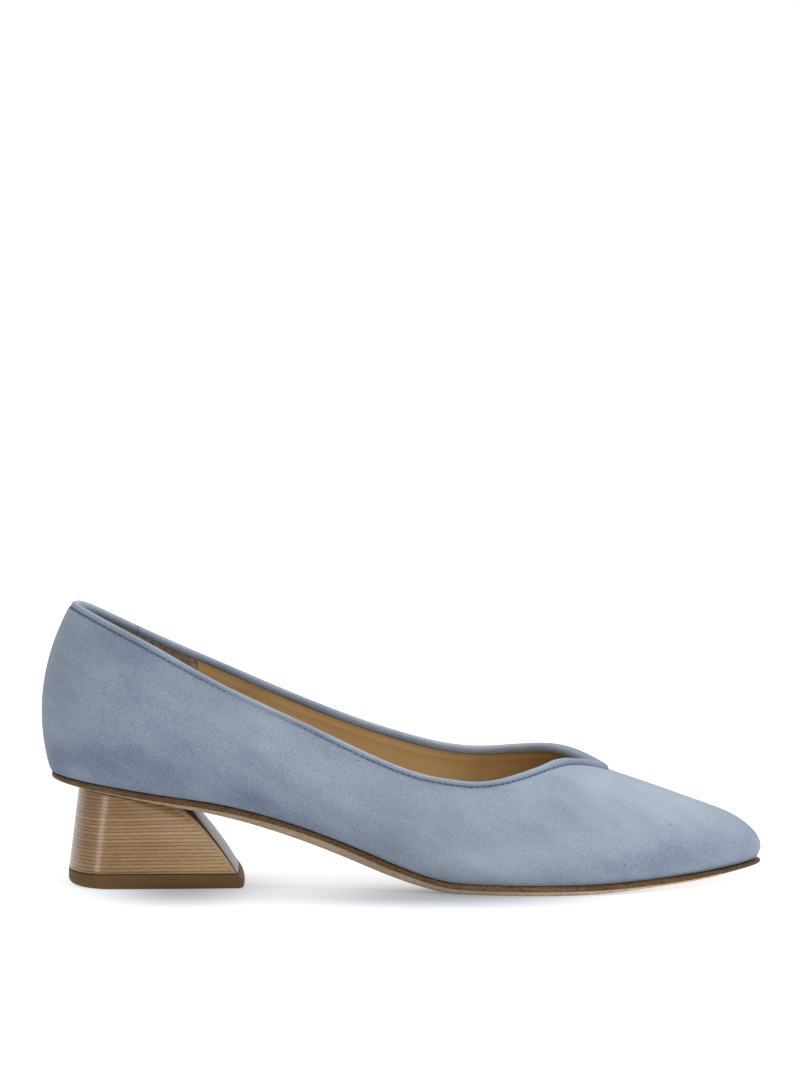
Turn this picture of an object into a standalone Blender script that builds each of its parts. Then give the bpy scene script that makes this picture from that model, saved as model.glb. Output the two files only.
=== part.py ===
"""Women's low block-heel pump for the right foot, built as an assembly of separate pieces.

All sizes are worked out in millimetres in the frame of the last: x runs forward from the back of the heel
curve, y runs from the axis of the heel to the inner (medial) side of the foot, z runs up from the floor.
The meshes are made in metres and hang on one empty that centres the shoe over the origin.
"""

import math

import bmesh
import bpy
import numpy as np

# Driving sizes
MM = 0.001
LENGTH = 250.0
BALL_WIDTH = 75.0
HEEL_HEIGHT = 36.2
BACK_HEIGHT = 58.0
TOE_SPRING = 5.7
WALL = 1.8
SEAM_GAP = 0.3

# Step for slopes along a curve, distance under which points are one (metres), least angle of a sharp edge
NUDGE = 1e-3
MERGE = 1e-7
SHARP_EDGE = math.radians(40)

# Sides of the foot, as the sign of y
LATERAL = -1
MEDIAL = 1

# Sections of the upper from the back seam to the toe. A section is a rib that rises from the feather line,
# where the upper meets the sole, to its top: the collar edge as far as the throat, then the vamp ridge.
# x is in per cent of LENGTH, half-widths in per cent of BALL_WIDTH and rises above the feather line in per cent
# of BACK_HEIGHT. Flare is the outward lean at the feather line and tuck the inward lean at the top, in degrees.
SECTION_COLUMNS = (
    "feather_x", "feather_lateral", "feather_medial",
    "top_x", "top_lateral", "rise_lateral", "top_medial", "rise_medial",
    "flare_lateral", "flare_medial", "tuck",
)
SECTIONS = (
    ("back centre", 1.1, 0.0, 0.0, 3.9, 0.0, 100.9, 0.0, 100.9, 16, 16, 42),
    ("back corner", 2.7, 16.3, 16.3, 5.1, 16.4, 100.2, 16.4, 99.8, 17, 17, 39),
    ("counter", 6.9, 27.7, 27.7, 9.0, 27.3, 95.0, 27.3, 93.8, 19, 19, 30),
    ("heel side", 12.8, 32.4, 32.0, 14.8, 33.1, 86.4, 32.8, 85.3, 20, 20, 20),
    ("waist back", 24.8, 33.6, 30.4, 24.8, 37.3, 70.0, 36.5, 72.5, 20, 24, 13),
    ("waist", 38.0, 34.7, 26.4, 38.0, 38.7, 59.3, 36.8, 64.4, 20, 30, 10),
    ("joint back", 50.0, 40.7, 32.7, 50.0, 41.1, 56.2, 38.9, 66.3, 16, 26, 11),
    ("dip", 60.0, 48.3, 43.3, 60.0, 44.0, 56.7, 42.7, 66.4, 12, 16, 20),
    ("lobe", 68.8, 51.3, 48.4, 68.8, 34.0, 64.1, 35.3, 69.5, 10, 11, 48),
    ("cleft", 74.4, 49.7, 48.3, 72.6, 21.8, 67.2, 24.4, 70.1, 9, 10, 72),
    ("throat point", 78.9, 46.0, 45.7, 78.9, -1.1, 60.3, 1.1, 60.3, 9, 10, 90),
    ("vamp", 86.0, 35.3, 37.7, 86.0, -1.7, 48.4, 1.7, 48.4, 12, 12, 90),
    ("toe box", 92.8, 22.7, 27.3, 92.8, -2.4, 35.8, 2.4, 35.8, 16, 16, 90),
    ("toe corner", 97.2, 10.7, 17.3, 97.4, -2.9, 24.7, 2.9, 24.7, 20, 20, 90),
    ("toe tip", 99.7, -3.3, 3.3, 100.2, -3.3, 6.3, 3.3, 6.3, 25, 25, 90),
)
THROAT = 10
LAST = len(SECTIONS) - 1
RIBS_PER_STEP = (3, 3, 3, 4, 4, 4, 4, 4, 4, 4, 4, 4, 4, 5)
RIB_ROWS = 8
BACK_REACH = 0.24
BACK_REACH_END = 3
SIDE_REACH = 0.36
DOME_REACH = 0.55
LOOP_PAD = 4
SQUARE_START = 7

# Underside of the sole: x in per cent of LENGTH, height in millimetres and slope
PROFILE = (
    ("back", 1.5, HEEL_HEIGHT, -0.17),
    ("seat front", 22.0, 0.742 * HEEL_HEIGHT, -0.18),
    ("shank", 42.0, 0.324 * HEEL_HEIGHT, -0.365),
    ("ball back", 58.4, 0.0, 0.0),
    ("ball front", 70.4, 0.0, 0.0),
    ("toe", 99.8, TOE_SPRING, 0.11),
)

# Thickness of the sole: x in per cent of LENGTH and millimetres
SOLE_THICKNESS = (
    ("back", 0.0, 2.0),
    ("seat", 16.0, 3.0),
    ("shank back", 32.0, 4.4),
    ("shank front", 46.0, 4.4),
    ("ball", 62.0, 3.2),
    ("joint", 73.0, 3.1),
    ("vamp", 84.0, 2.4),
    ("toe box", 92.0, 1.8),
    ("toe", 100.0, 1.5),
)
HEEL_MARGIN = -0.6
TOE_MARGIN = 1.0
EDGE_BAND = 1.7
EDGE_STEP = 0.3
EDGE_STEP_DROP = 0.06
BEVEL_RUN = 0.75
LEAST_BEVEL = 0.2

# Insole
INSOLE_THICKNESS = 2.0
INSOLE_ROUND = 0.5

# Collar binding: its section as (share of the width away from the upper, height over the upper's outer face)
BINDING_WIDTH = 1.8
BINDING_SECTION = (
    (0.0, 0.0), (0.12, 0.38), (0.45, 0.55), (0.8, 0.4), (0.97, -0.1),
    (1.0, -0.9),
    (0.97, -1.7), (0.8, -2.2), (0.45, -2.35), (0.12, -2.18), (0.0, -1.8),
)
BINDING_PER_STEP = 4
THROAT_SWELL = 1.5
SWELL_START = 8

# Heel block: a D-shaped plan at the top-lift and under the sole. The breast is curved in plan and set forward on
# the lateral side. Its corners stay sharp low down and open out close under the sole.
LIFT_HEIGHT = 5.0
HEEL_COLUMNS = ("back", "front", "half_width", "front_half_width", "corner_radius")
HEEL_BASE = (9.3, 68.1, 24.4, 22.2, 0.8)
HEEL_SEAT = (12.9, 51.1, 22.2, 17.7, 2.4)
HEEL_LEVELS = 12
CORNER_OPENING = 6.0
CORNER_OPENING_POWER = 8
CORNER_POINTS = 6
BREAST_BULGE = 1.6
BREAST_SKEW = 0.074
BREAST_CURVE = 0.00185
BREAST_POINTS = 4
BACK_ROUND = 15.0
BACK_ROUND_POINTS = 8

# Top-lift: its rings as (height, growth over the heel's base, forward shift of the front)
LIFT_RINGS = (
    ("top", LIFT_HEIGHT, 0.1, 0.1),
    ("middle", 2.7, 0.2, 1.7),
    ("lower side", 1.5, 0.15, 2.0),
    ("rounded edge", 0.45, -0.35, 2.2),
    ("floor", 0.0, -1.4, 1.7),
)

# Colours, roughness
LOOKS = {
    "upper": ((0.30, 0.36, 0.45), 0.95),
    "topline_binding": ((0.25, 0.30, 0.39), 0.95),
    "insole": ((0.27, 0.17, 0.07), 0.55),
    "outsole": ((0.10, 0.06, 0.03), 0.5),
    "heel_block": ((0.28, 0.17, 0.09), 0.3),
    "top_lift": ((0.10, 0.055, 0.025), 0.6),
}


def cubic_through(knots, values):
    """A natural cubic spline: returns the function that gives the value at any place along the knots."""
    knots = np.asarray(knots, float)
    values = np.asarray(values, float)
    steps = np.diff(knots)
    count = len(knots)
    system = np.eye(count)
    bend = np.zeros_like(values)
    for i in range(1, count - 1):
        before, after = steps[i - 1], steps[i]
        system[i, i - 1 : i + 2] = before, 2 * (before + after), after
        bend[i] = 6 * ((values[i + 1] - values[i]) / after - (values[i] - values[i - 1]) / before)
    bend = np.linalg.solve(system, bend)

    def at(place):
        place = np.asarray(place, float)
        i = np.clip(np.searchsorted(knots, place, side="right") - 1, 0, count - 2)
        step = steps[i]
        near = (knots[i + 1] - place) / step
        far = 1 - near
        if values.ndim > 1:
            step, near, far = step[..., None], near[..., None], far[..., None]
        curve = (near**3 - near) * bend[i] + (far**3 - far) * bend[i + 1]
        return near * values[i] + far * values[i + 1] + curve * step**2 / 6

    return at


def smooth_step(share):
    share = np.clip(share, 0.0, 1.0)
    return share * share * (3 - 2 * share)


def curve_through(points):
    """A smooth curve through points, and each point's place along it."""
    steps = np.linalg.norm(np.diff(points, axis=0), axis=1)
    knots = np.concatenate([[0.0], np.cumsum(steps)])
    return cubic_through(knots, points), knots


def by_section(curve, knots, first=0):
    """The curve as a function of the section number, where knots holds each section's place."""
    place = cubic_through(np.arange(first, first + len(knots)), knots)
    return lambda u: curve(place(u))


def sole_bottom(x):
    """Height of the sole's underside: a cubic between the rows of PROFILE."""
    x = np.asarray(x, float)
    rows = np.array([row[1:] for row in PROFILE], float)
    places = rows[:, 0] * LENGTH / 100
    i = np.clip(np.searchsorted(places, x, side="right") - 1, 0, len(rows) - 2)
    run = places[i + 1] - places[i]
    s = np.clip((x - places[i]) / run, 0.0, 1.0)
    start, end = rows[i], rows[i + 1]
    height = start[..., 1] * (2 * s**3 - 3 * s**2 + 1) + end[..., 1] * (3 * s**2 - 2 * s**3)
    return height + run * (start[..., 2] * (s**3 - 2 * s**2 + s) + end[..., 2] * (s**3 - s**2))


sole_thickness = cubic_through(
    [row[1] * LENGTH / 100 for row in SOLE_THICKNESS], [row[2] for row in SOLE_THICKNESS]
)


def feather_height(x):
    """Height of the sole's upper edge."""
    return sole_bottom(x) + sole_thickness(x)


def section_sizes():
    """The section table in millimetres and degrees, one array a column."""
    table = np.array([row[1:] for row in SECTIONS], float)
    sizes = dict(zip(SECTION_COLUMNS, table.T))
    for name in sizes:
        if name.endswith("_x"):
            sizes[name] = sizes[name] * LENGTH / 100
        elif name.startswith("rise"):
            sizes[name] = sizes[name] * BACK_HEIGHT / 100
        elif name.startswith(("feather", "top")):
            sizes[name] = sizes[name] * BALL_WIDTH / 100
    return sizes


SIZES = section_sizes()
SIDE_NAMES = {LATERAL: "lateral", MEDIAL: "medial"}


def feather_rows(side):
    x = SIZES["feather_x"]
    y = side * SIZES["feather_" + SIDE_NAMES[side]]
    return np.column_stack([x, y, feather_height(x) + SEAM_GAP])


def top_rows(side):
    x = SIZES["top_x"]
    y = side * SIZES["top_" + SIDE_NAMES[side]]
    return np.column_stack([x, y, feather_height(x) + SIZES["rise_" + SIDE_NAMES[side]]])


def feather_curves():
    """The feather line of each side as a function of the section number, from one closed loop in plan."""
    lateral = feather_rows(LATERAL)[:, :2]
    medial = feather_rows(MEDIAL)[:, :2]
    loop = np.vstack([lateral, medial[-2:0:-1]])
    padded = np.vstack([loop[-LOOP_PAD:], loop, loop[: LOOP_PAD + 1]])
    plan, knots = curve_through(padded)
    tip = LOOP_PAD + LAST

    def curve(place):
        point = plan(place)
        height = feather_height(point[..., 0]) + SEAM_GAP
        return np.concatenate([point, height[..., None]], axis=-1)

    return {
        LATERAL: by_section(curve, knots[LOOP_PAD : tip + 1]),
        MEDIAL: by_section(curve, knots[tip : tip + LAST + 1][::-1]),
    }


def collar_curves():
    """The collar edge of each side as a function of the section number, from the back to the throat point."""
    lateral = top_rows(LATERAL)[: THROAT + 1]
    medial = top_rows(MEDIAL)[: THROAT + 1]
    curve, knots = curve_through(np.vstack([lateral[::-1], medial[1:]]))
    return {
        LATERAL: by_section(curve, knots[THROAT::-1]),
        MEDIAL: by_section(curve, knots[THROAT:]),
    }


def ridge_curve():
    """The vamp ridge from the throat point to the nose of the toe."""
    points = np.vstack([top_rows(MEDIAL)[THROAT:], feather_rows(MEDIAL)[-1:]])
    curve, knots = curve_through(points)
    return by_section(curve, knots[:-1], THROAT)


FEATHER = feather_curves()
COLLAR = collar_curves()
RIDGE = ridge_curve()
LEANS = {
    name: cubic_through(np.arange(LAST + 1), np.radians(SIZES[name]))
    for name in ("flare_lateral", "flare_medial", "tuck")
}


def plan_outward(curve, u, side):
    """Unit vectors in plan that point away from the foot, square to a curve that runs forward."""
    low = np.clip(u - NUDGE, 0, LAST)
    high = np.clip(u + NUDGE, 0, LAST)
    along = (curve(high) - curve(low))[..., :2]
    across = np.stack([-side * along[..., 1], side * along[..., 0]], axis=-1)
    across /= np.linalg.norm(across, axis=-1, keepdims=True)
    return np.concatenate([across, np.zeros_like(across[..., :1])], axis=-1)


def top_point(u, side):
    u = np.asarray(u, float)
    collar = COLLAR[side](np.minimum(u, THROAT))
    ridge = RIDGE(np.maximum(u, THROAT))
    return np.where((u < THROAT)[..., None], collar, ridge)


def wall_point(u, v, side):
    """The upper's outer face at section number u and share v of the rib's height: a cubic rib."""
    u = np.asarray(u, float)
    v = np.asarray(v, float)[..., None]
    foot = FEATHER[side](u)
    top = top_point(u, side)
    flare = LEANS["flare_" + SIDE_NAMES[side]](u)
    tuck = np.minimum(LEANS["tuck"](u), math.pi / 2)
    tuck = np.where(u >= THROAT, math.pi / 2, tuck)
    out_foot = plan_outward(FEATHER[side], u, side)
    square = smooth_step((u - SQUARE_START) / (THROAT - SQUARE_START))[..., None]
    out_top = out_foot * (1 - square) + np.array([0.0, side, 0.0]) * square
    out_top /= np.linalg.norm(out_top, axis=-1, keepdims=True)
    height = top[..., 2] - foot[..., 2]
    width = np.maximum(((foot - top) * out_top).sum(axis=-1), 0.0)
    dome = np.sin(tuck) ** 2
    reach = BACK_REACH + (SIDE_REACH - BACK_REACH) * smooth_step(u / BACK_REACH_END)
    reach = reach + (DOME_REACH - reach) * dome
    up = np.array([0.0, 0.0, 1.0])
    low = foot + (reach * height)[..., None] * (up + np.tan(flare)[..., None] * out_foot)
    spread = reach * np.sin(tuck) * (height * (1 - dome) + width * dome)
    high = top + spread[..., None] * out_top - (reach * np.cos(tuck) * height)[..., None] * up
    near = 1 - v
    return near**3 * foot + 3 * near**2 * v * low + 3 * near * v**2 * high + v**3 * top


def wall_normal(u, v, side):
    """Unit vectors out of the upper's outer face."""
    before, after = np.clip(u - NUDGE, 0, LAST), np.clip(u + NUDGE, 0, LAST)
    below, above = np.clip(v - NUDGE, 0, 1), np.clip(v + NUDGE, 0, 1)
    along = wall_point(after, v, side) - wall_point(before, v, side)
    rise = wall_point(u, above, side) - wall_point(u, below, side)
    normal = -side * np.cross(along, rise)
    return normal / np.linalg.norm(normal, axis=-1, keepdims=True)


def rib_numbers(first=0, last=LAST):
    """Section numbers of the ribs, evenly spaced inside each step of the table."""
    places = [np.linspace(i, i + 1, RIBS_PER_STEP[i], endpoint=False) for i in range(first, last)]
    return np.append(np.concatenate(places), float(last))


def mesh_object(name, points, faces):
    """A named object with its own material, from points in millimetres, smooth but for its sharp edges."""
    mesh = bpy.data.meshes.new(name)
    bm = bmesh.new()
    verts = [bm.verts.new([c * MM for c in p]) for p in points]
    for face in faces:
        bm.faces.new([verts[i] for i in face])
    bmesh.ops.remove_doubles(bm, verts=bm.verts, dist=MERGE)
    bmesh.ops.recalc_face_normals(bm, faces=bm.faces)
    for face in bm.faces:
        face.smooth = True
    for edge in bm.edges:
        edge.smooth = edge.calc_face_angle(0.0) < SHARP_EDGE
    bm.to_mesh(mesh)
    bm.free()
    colour, roughness = LOOKS[name]
    material = bpy.data.materials.new(name)
    material.use_nodes = True
    shader = material.node_tree.nodes["Principled BSDF"]
    shader.inputs["Base Color"].default_value = (*colour, 1.0)
    shader.inputs["Roughness"].default_value = roughness
    shader.inputs["Metallic"].default_value = 0.0
    mesh.materials.append(material)
    return bpy.data.objects.new(name, mesh)


def ladder(count):
    """Faces that close a loop of points by rungs: point i of one side to point count - i of the other."""
    half = count // 2
    faces = []
    for i in range(half):
        ring = [i, i + 1, count - i - 1, (count - i) % count]
        faces.append([p for n, p in enumerate(ring) if p not in ring[:n]])
    return faces


def loft(name, rings):
    """A closed solid through loops of equal length, each from the back round the lateral side to the front."""
    count = len(rings[0])
    faces = []
    for level in range(len(rings) - 1):
        base = level * count
        for i in range(count):
            j = (i + 1) % count
            faces.append([base + i, base + j, base + count + j, base + count + i])
    end = (len(rings) - 1) * count
    faces += [face[::-1] for face in ladder(count)]
    faces += [[end + i for i in face] for face in ladder(count)]
    return mesh_object(name, np.vstack(rings), faces)


def moved_outward(loop, amount):
    """A loop in plan, run from the back round the lateral side, moved square to itself at each point."""
    along = np.roll(loop, -1, axis=0) - np.roll(loop, 1, axis=0)
    out = np.column_stack([along[:, 1], -along[:, 0], np.zeros(len(loop))])
    out /= np.linalg.norm(out, axis=1, keepdims=True)
    return loop + out * np.asarray(amount)[..., None]


def outline(offset):
    """The feather line as one loop, moved outward in plan."""
    u = rib_numbers()
    lateral = FEATHER[LATERAL](u)
    medial = FEATHER[MEDIAL](u)
    loop = np.vstack([lateral, medial[-2:0:-1]])
    return moved_outward(loop, np.full(len(loop), offset))


def at_height(loop, height):
    return np.column_stack([loop[:, :2], height])


def wall_grid(u, v, side):
    """Points of the upper's outer face, a row a rib. The first and last ribs are common to both sides."""
    grid = np.stack([wall_point(u, np.full_like(u, share), side) for share in v], axis=1)
    if side == MEDIAL:
        for end in (0, -1):
            ends = np.full_like(v, u[end])
            grid[end] = wall_point(ends, v, LATERAL)
    return grid


def make_upper():
    """The lasted shell: an open surface of ribs, thickened inward."""
    u = rib_numbers()
    v = np.linspace(0, 1, RIB_ROWS + 1)
    width = len(v)
    faces = []
    for side, start in ((LATERAL, 0), (MEDIAL, len(u) * width)):
        for i in range(len(u) - 1):
            for j in range(width - 1):
                corner = start + i * width + j
                faces.append([corner, corner + width, corner + width + 1, corner + 1][:: -side])
    points = [wall_grid(u, v, side).reshape(-1, 3) for side in (LATERAL, MEDIAL)]
    upper = mesh_object("upper", np.vstack(points), faces)
    shell = upper.modifiers.new("wall", "SOLIDIFY")
    shell.thickness = WALL * MM
    shell.offset = -1
    shell.use_even_offset = True
    return upper


def binding_rings(side):
    """Sections of the collar binding along one side, the last one mitred on the middle plane at the throat."""
    u = np.linspace(0, THROAT, THROAT * BINDING_PER_STEP, endpoint=False)
    edge = COLLAR[side](u)
    along = COLLAR[side](u + NUDGE) - COLLAR[side](np.maximum(u - NUDGE, 0))
    along /= np.linalg.norm(along, axis=1, keepdims=True)
    normal = wall_normal(u, np.ones_like(u), side)
    away = side * np.cross(along, normal)
    away /= np.linalg.norm(away, axis=1, keepdims=True)
    swell = 1 + THROAT_SWELL * smooth_step((u - SWELL_START) / (THROAT - SWELL_START))
    middle = COLLAR[side](THROAT)[1] + side * SEAM_GAP / 2
    rings = []
    for i in range(len(u)):
        reach = [SEAM_GAP + share * BINDING_WIDTH for share, _ in BINDING_SECTION]
        over = [rise * (swell[i] if rise > 0 else 1.0) for _, rise in BINDING_SECTION]
        ring = edge[i] + np.outer(over, normal[i]) + np.outer(reach, away[i])
        if u[i] > SWELL_START and (side * (ring[:, 1] - middle)).min() < 0:
            break
        rings.append(ring)
    last = len(rings) - 1
    to_middle = (middle - rings[last][:, 1]) / along[last][1]
    rings.append(rings[last] + np.outer(to_middle, along[last]))
    return rings


def make_binding():
    """The rolled strip that carries on the wall above its edge, open at the throat point."""
    lateral = binding_rings(LATERAL)
    medial = binding_rings(MEDIAL)
    rings = lateral[::-1] + medial[1:]
    count = len(BINDING_SECTION)
    faces = []
    for level in range(len(rings) - 1):
        base = level * count
        for i in range(count):
            j = (i + 1) % count
            faces.append([base + i, base + j, base + count + j, base + count + i])
    end = (len(rings) - 1) * count
    faces.append(list(range(count))[::-1])
    faces.append([end + i for i in range(count)])
    return mesh_object("topline_binding", np.vstack(rings), faces)


def edge_margin(x):
    """How far the sole's edge stands out past the feather line."""
    return HEEL_MARGIN + (TOE_MARGIN - HEEL_MARGIN) * smooth_step(x / LENGTH)


def make_outsole():
    """Thin sole: an upright band round the edge, a small step, then a bevel to the underside."""
    feather = outline(0.0)
    edge = moved_outward(feather, edge_margin(feather[:, 0]))
    x = edge[:, 0]
    band = np.minimum(EDGE_BAND, sole_thickness(x) - EDGE_STEP_DROP - LEAST_BEVEL)
    bevel = sole_thickness(x) - band - EDGE_STEP_DROP
    inner = moved_outward(edge, np.full_like(x, -EDGE_STEP))
    foot = moved_outward(inner, -BEVEL_RUN * bevel)
    rings = [
        at_height(foot, sole_bottom(foot[:, 0])),
        at_height(inner, sole_bottom(x) + bevel),
        at_height(edge, feather_height(x) - band),
        at_height(edge, feather_height(x)),
    ]
    return loft("outsole", rings)


def make_insole():
    """The board inside the upper, clear of its wall."""
    gap = WALL + SEAM_GAP
    low = outline(-gap)
    top = outline(-gap - INSOLE_ROUND)
    base = feather_height(low[:, 0]) + SEAM_GAP
    rings = [
        at_height(low, base),
        at_height(low, base + INSOLE_THICKNESS - INSOLE_ROUND),
        at_height(top, feather_height(top[:, 0]) + SEAM_GAP + INSOLE_THICKNESS),
    ]
    return loft("insole", rings)


def heel_plan(sizes, grow=0.0, forward=0.0):
    """A D-shaped loop: rounded back, sides narrowing forward, a curved front with rounded corners."""
    size = dict(zip(HEEL_COLUMNS, sizes))
    back = size["back"] - grow
    front = size["front"] + grow + forward
    half = size["half_width"] + grow
    front_half = size["front_half_width"] + grow
    turn = np.linspace(0, math.pi / 2, BACK_ROUND_POINTS)
    rounded = np.column_stack([back + BACK_ROUND * (1 - np.cos(turn)), half * np.sin(turn)])
    radius = size["corner_radius"]
    lean = math.atan2(half - front_half, front - back - BACK_ROUND)
    bend = np.linspace(lean, math.pi / 2, CORNER_POINTS)
    corner = np.column_stack([
        front - radius + radius * np.sin(bend),
        front_half - radius + radius * np.cos(bend),
    ])
    middle = (rounded[-1:] + corner[:1]) / 2
    across = np.linspace(corner[-1], [front, 0.0], BREAST_POINTS + 1)[1:]
    side = np.vstack([rounded, middle, corner, across])
    loop = np.vstack([side * (1, LATERAL), side[-2:0:-1]])
    to_front = np.clip((loop[:, 0] - back - BACK_ROUND) / (front - back - BACK_ROUND), 0.0, 1.0)
    loop[:, 0] -= (BREAST_SKEW * loop[:, 1] + BREAST_CURVE * loop[:, 1] ** 2) * to_front
    return loop


def make_heel_block():
    """The block heel: D-shaped rings from the top-lift up to the slope of the sole, with a bulged breast."""
    rings = []
    for t in np.linspace(0, 1, HEEL_LEVELS):
        sizes = [base + t * (seat - base) for base, seat in zip(HEEL_BASE, HEEL_SEAT)]
        sizes[-1] += CORNER_OPENING * t**CORNER_OPENING_POWER
        loop = heel_plan(sizes, forward=BREAST_BULGE * 4 * t * (1 - t))
        low = LIFT_HEIGHT + SEAM_GAP
        high = sole_bottom(loop[:, 0]) - SEAM_GAP
        rings.append(at_height(loop, low + t * (high - low)))
    return loft("heel_block", rings)


def make_top_lift():
    """The rubber plate under the heel, with a rounded lower edge."""
    rings = []
    for _, height, grow, forward in LIFT_RINGS:
        loop = heel_plan(HEEL_BASE, grow, forward)
        rings.append(at_height(loop, np.full(len(loop), height)))
    return loft("top_lift", rings)


def main():
    for old in list(bpy.data.objects):
        bpy.data.objects.remove(old, do_unlink=True)
    shoe = bpy.data.collections.new("block_heel_pump")
    bpy.context.scene.collection.children.link(shoe)
    centre = bpy.data.objects.new("pump_centre", None)
    shoe.objects.link(centre)
    pieces = [make_upper(), make_binding(), make_insole(), make_outsole(), make_heel_block(), make_top_lift()]
    for piece in pieces:
        shoe.objects.link(piece)
        piece.parent = centre
    bpy.context.view_layer.update()
    corners = np.array([corner for piece in pieces for corner in piece.bound_box])
    middle = (corners.min(axis=0) + corners.max(axis=0)) / 2
    centre.location = (-middle[0], -middle[1], 0.0)


if __name__ == "__main__":
    main()
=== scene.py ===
"""Looks of the block-heel pump: suede, rolled binding, lining, leather sole, stacked heel and rubber lift.

Sizes are in millimetres in the frame of the last, as in the part: x runs forward from the back of the heel
curve, y from the axis of the heel to the inner (medial) side of the foot, z up from the floor. SHIFT carries
them into the row's frame, in metres.
"""

import math

import bmesh
import bpy
import numpy as np
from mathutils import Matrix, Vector


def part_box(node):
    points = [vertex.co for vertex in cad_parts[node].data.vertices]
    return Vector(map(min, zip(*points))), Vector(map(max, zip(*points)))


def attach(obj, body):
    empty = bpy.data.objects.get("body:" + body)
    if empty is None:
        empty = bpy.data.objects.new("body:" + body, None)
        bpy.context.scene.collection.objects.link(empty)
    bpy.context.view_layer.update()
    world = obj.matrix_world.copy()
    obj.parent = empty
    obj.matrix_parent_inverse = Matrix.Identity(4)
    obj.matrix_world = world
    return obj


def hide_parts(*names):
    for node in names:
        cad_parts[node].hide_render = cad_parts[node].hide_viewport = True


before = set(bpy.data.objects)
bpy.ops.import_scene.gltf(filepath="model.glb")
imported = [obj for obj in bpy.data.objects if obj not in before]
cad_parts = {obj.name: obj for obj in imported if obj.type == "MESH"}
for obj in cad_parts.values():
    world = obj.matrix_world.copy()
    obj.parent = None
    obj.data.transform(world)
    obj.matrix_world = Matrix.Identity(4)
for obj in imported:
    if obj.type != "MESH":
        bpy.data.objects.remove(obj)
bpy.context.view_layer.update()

# Driving sizes of the last
MM = 0.001
LENGTH = 250.0
BALL_WIDTH = 75.0
HEEL_HEIGHT = 36.2
BACK_HEIGHT = 58.0
TOE_SPRING = 5.7
WALL = 1.8
SEAM_GAP = 0.3
NUDGE = 1e-3
LATERAL = -1
MEDIAL = 1
SIDE_NAMES = {LATERAL: "lateral", MEDIAL: "medial"}

# Sections of the upper: x in per cent of LENGTH, half-widths in per cent of BALL_WIDTH, rises in per cent
# of BACK_HEIGHT, leans in degrees
SECTION_COLUMNS = (
    "feather_x", "feather_lateral", "feather_medial",
    "top_x", "top_lateral", "rise_lateral", "top_medial", "rise_medial",
    "flare_lateral", "flare_medial", "tuck",
)
SECTIONS = (
    ("back centre", 1.1, 0.0, 0.0, 3.9, 0.0, 100.9, 0.0, 100.9, 16, 16, 42),
    ("back corner", 2.7, 16.3, 16.3, 5.1, 16.4, 100.2, 16.4, 99.8, 17, 17, 39),
    ("counter", 6.9, 27.7, 27.7, 9.0, 27.3, 95.0, 27.3, 93.8, 19, 19, 30),
    ("heel side", 12.8, 32.4, 32.0, 14.8, 33.1, 86.4, 32.8, 85.3, 20, 20, 20),
    ("waist back", 24.8, 33.6, 30.4, 24.8, 37.3, 70.0, 36.5, 72.5, 20, 24, 13),
    ("waist", 38.0, 34.7, 26.4, 38.0, 38.7, 59.3, 36.8, 64.4, 20, 30, 10),
    ("joint back", 50.0, 40.7, 32.7, 50.0, 41.1, 56.2, 38.9, 66.3, 16, 26, 11),
    ("dip", 60.0, 48.3, 43.3, 60.0, 44.0, 56.7, 42.7, 66.4, 12, 16, 20),
    ("lobe", 68.8, 51.3, 48.4, 68.8, 34.0, 64.1, 35.3, 69.5, 10, 11, 48),
    ("cleft", 74.4, 49.7, 48.3, 72.6, 21.8, 67.2, 24.4, 70.1, 9, 10, 72),
    ("throat point", 78.9, 46.0, 45.7, 78.9, -1.1, 60.3, 1.1, 60.3, 9, 10, 90),
    ("vamp", 86.0, 35.3, 37.7, 86.0, -1.7, 48.4, 1.7, 48.4, 12, 12, 90),
    ("toe box", 92.8, 22.7, 27.3, 92.8, -2.4, 35.8, 2.4, 35.8, 16, 16, 90),
    ("toe corner", 97.2, 10.7, 17.3, 97.4, -2.9, 24.7, 2.9, 24.7, 20, 20, 90),
    ("toe tip", 99.7, -3.3, 3.3, 100.2, -3.3, 6.3, 3.3, 6.3, 25, 25, 90),
)
THROAT = 10
LAST = len(SECTIONS) - 1

# Ribs: reach of their ends at the back, at the side and under the domed vamp, and where these pass over
BACK_REACH = 0.24
BACK_REACH_END = 3
SIDE_REACH = 0.36
DOME_REACH = 0.55
LOOP_PAD = 4
SQUARE_START = 7

# Underside of the sole: x in per cent of LENGTH, height in millimetres and slope
PROFILE = (
    ("back", 1.5, HEEL_HEIGHT, -0.17),
    ("seat front", 22.0, 0.742 * HEEL_HEIGHT, -0.18),
    ("shank", 42.0, 0.324 * HEEL_HEIGHT, -0.365),
    ("ball back", 58.4, 0.0, 0.0),
    ("ball front", 70.4, 0.0, 0.0),
    ("toe", 99.8, TOE_SPRING, 0.11),
)

# Thickness of the sole: x in per cent of LENGTH and millimetres
SOLE_THICKNESS = (
    ("back", 0.0, 2.0),
    ("seat", 16.0, 3.0),
    ("shank back", 32.0, 4.4),
    ("shank front", 46.0, 4.4),
    ("ball", 62.0, 3.2),
    ("joint", 73.0, 3.1),
    ("vamp", 84.0, 2.4),
    ("toe box", 92.0, 1.8),
    ("toe", 100.0, 1.5),
)

# Sole edge: an upright band that swells a little, a step and a bevel below it
SOLE_RIBS = 16
HEEL_MARGIN = -0.6
TOE_MARGIN = 1.0
EDGE_BAND = 2.15
EDGE_STEP = 0.3
EDGE_STEP_DROP = 0.06
EDGE_SWELL = 0.12
SWELL_LOW = 0.7
SWELL_HIGH = 0.3
BEVEL_RUN = 0.75
BEVEL_MIDDLE = (0.52, 0.5)
BEVEL_BANDS = 2
LEAST_BEVEL = 0.2
SOLE_TOP_INSET = 2.5
UNDERSIDE_RUNGS = 14

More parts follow.
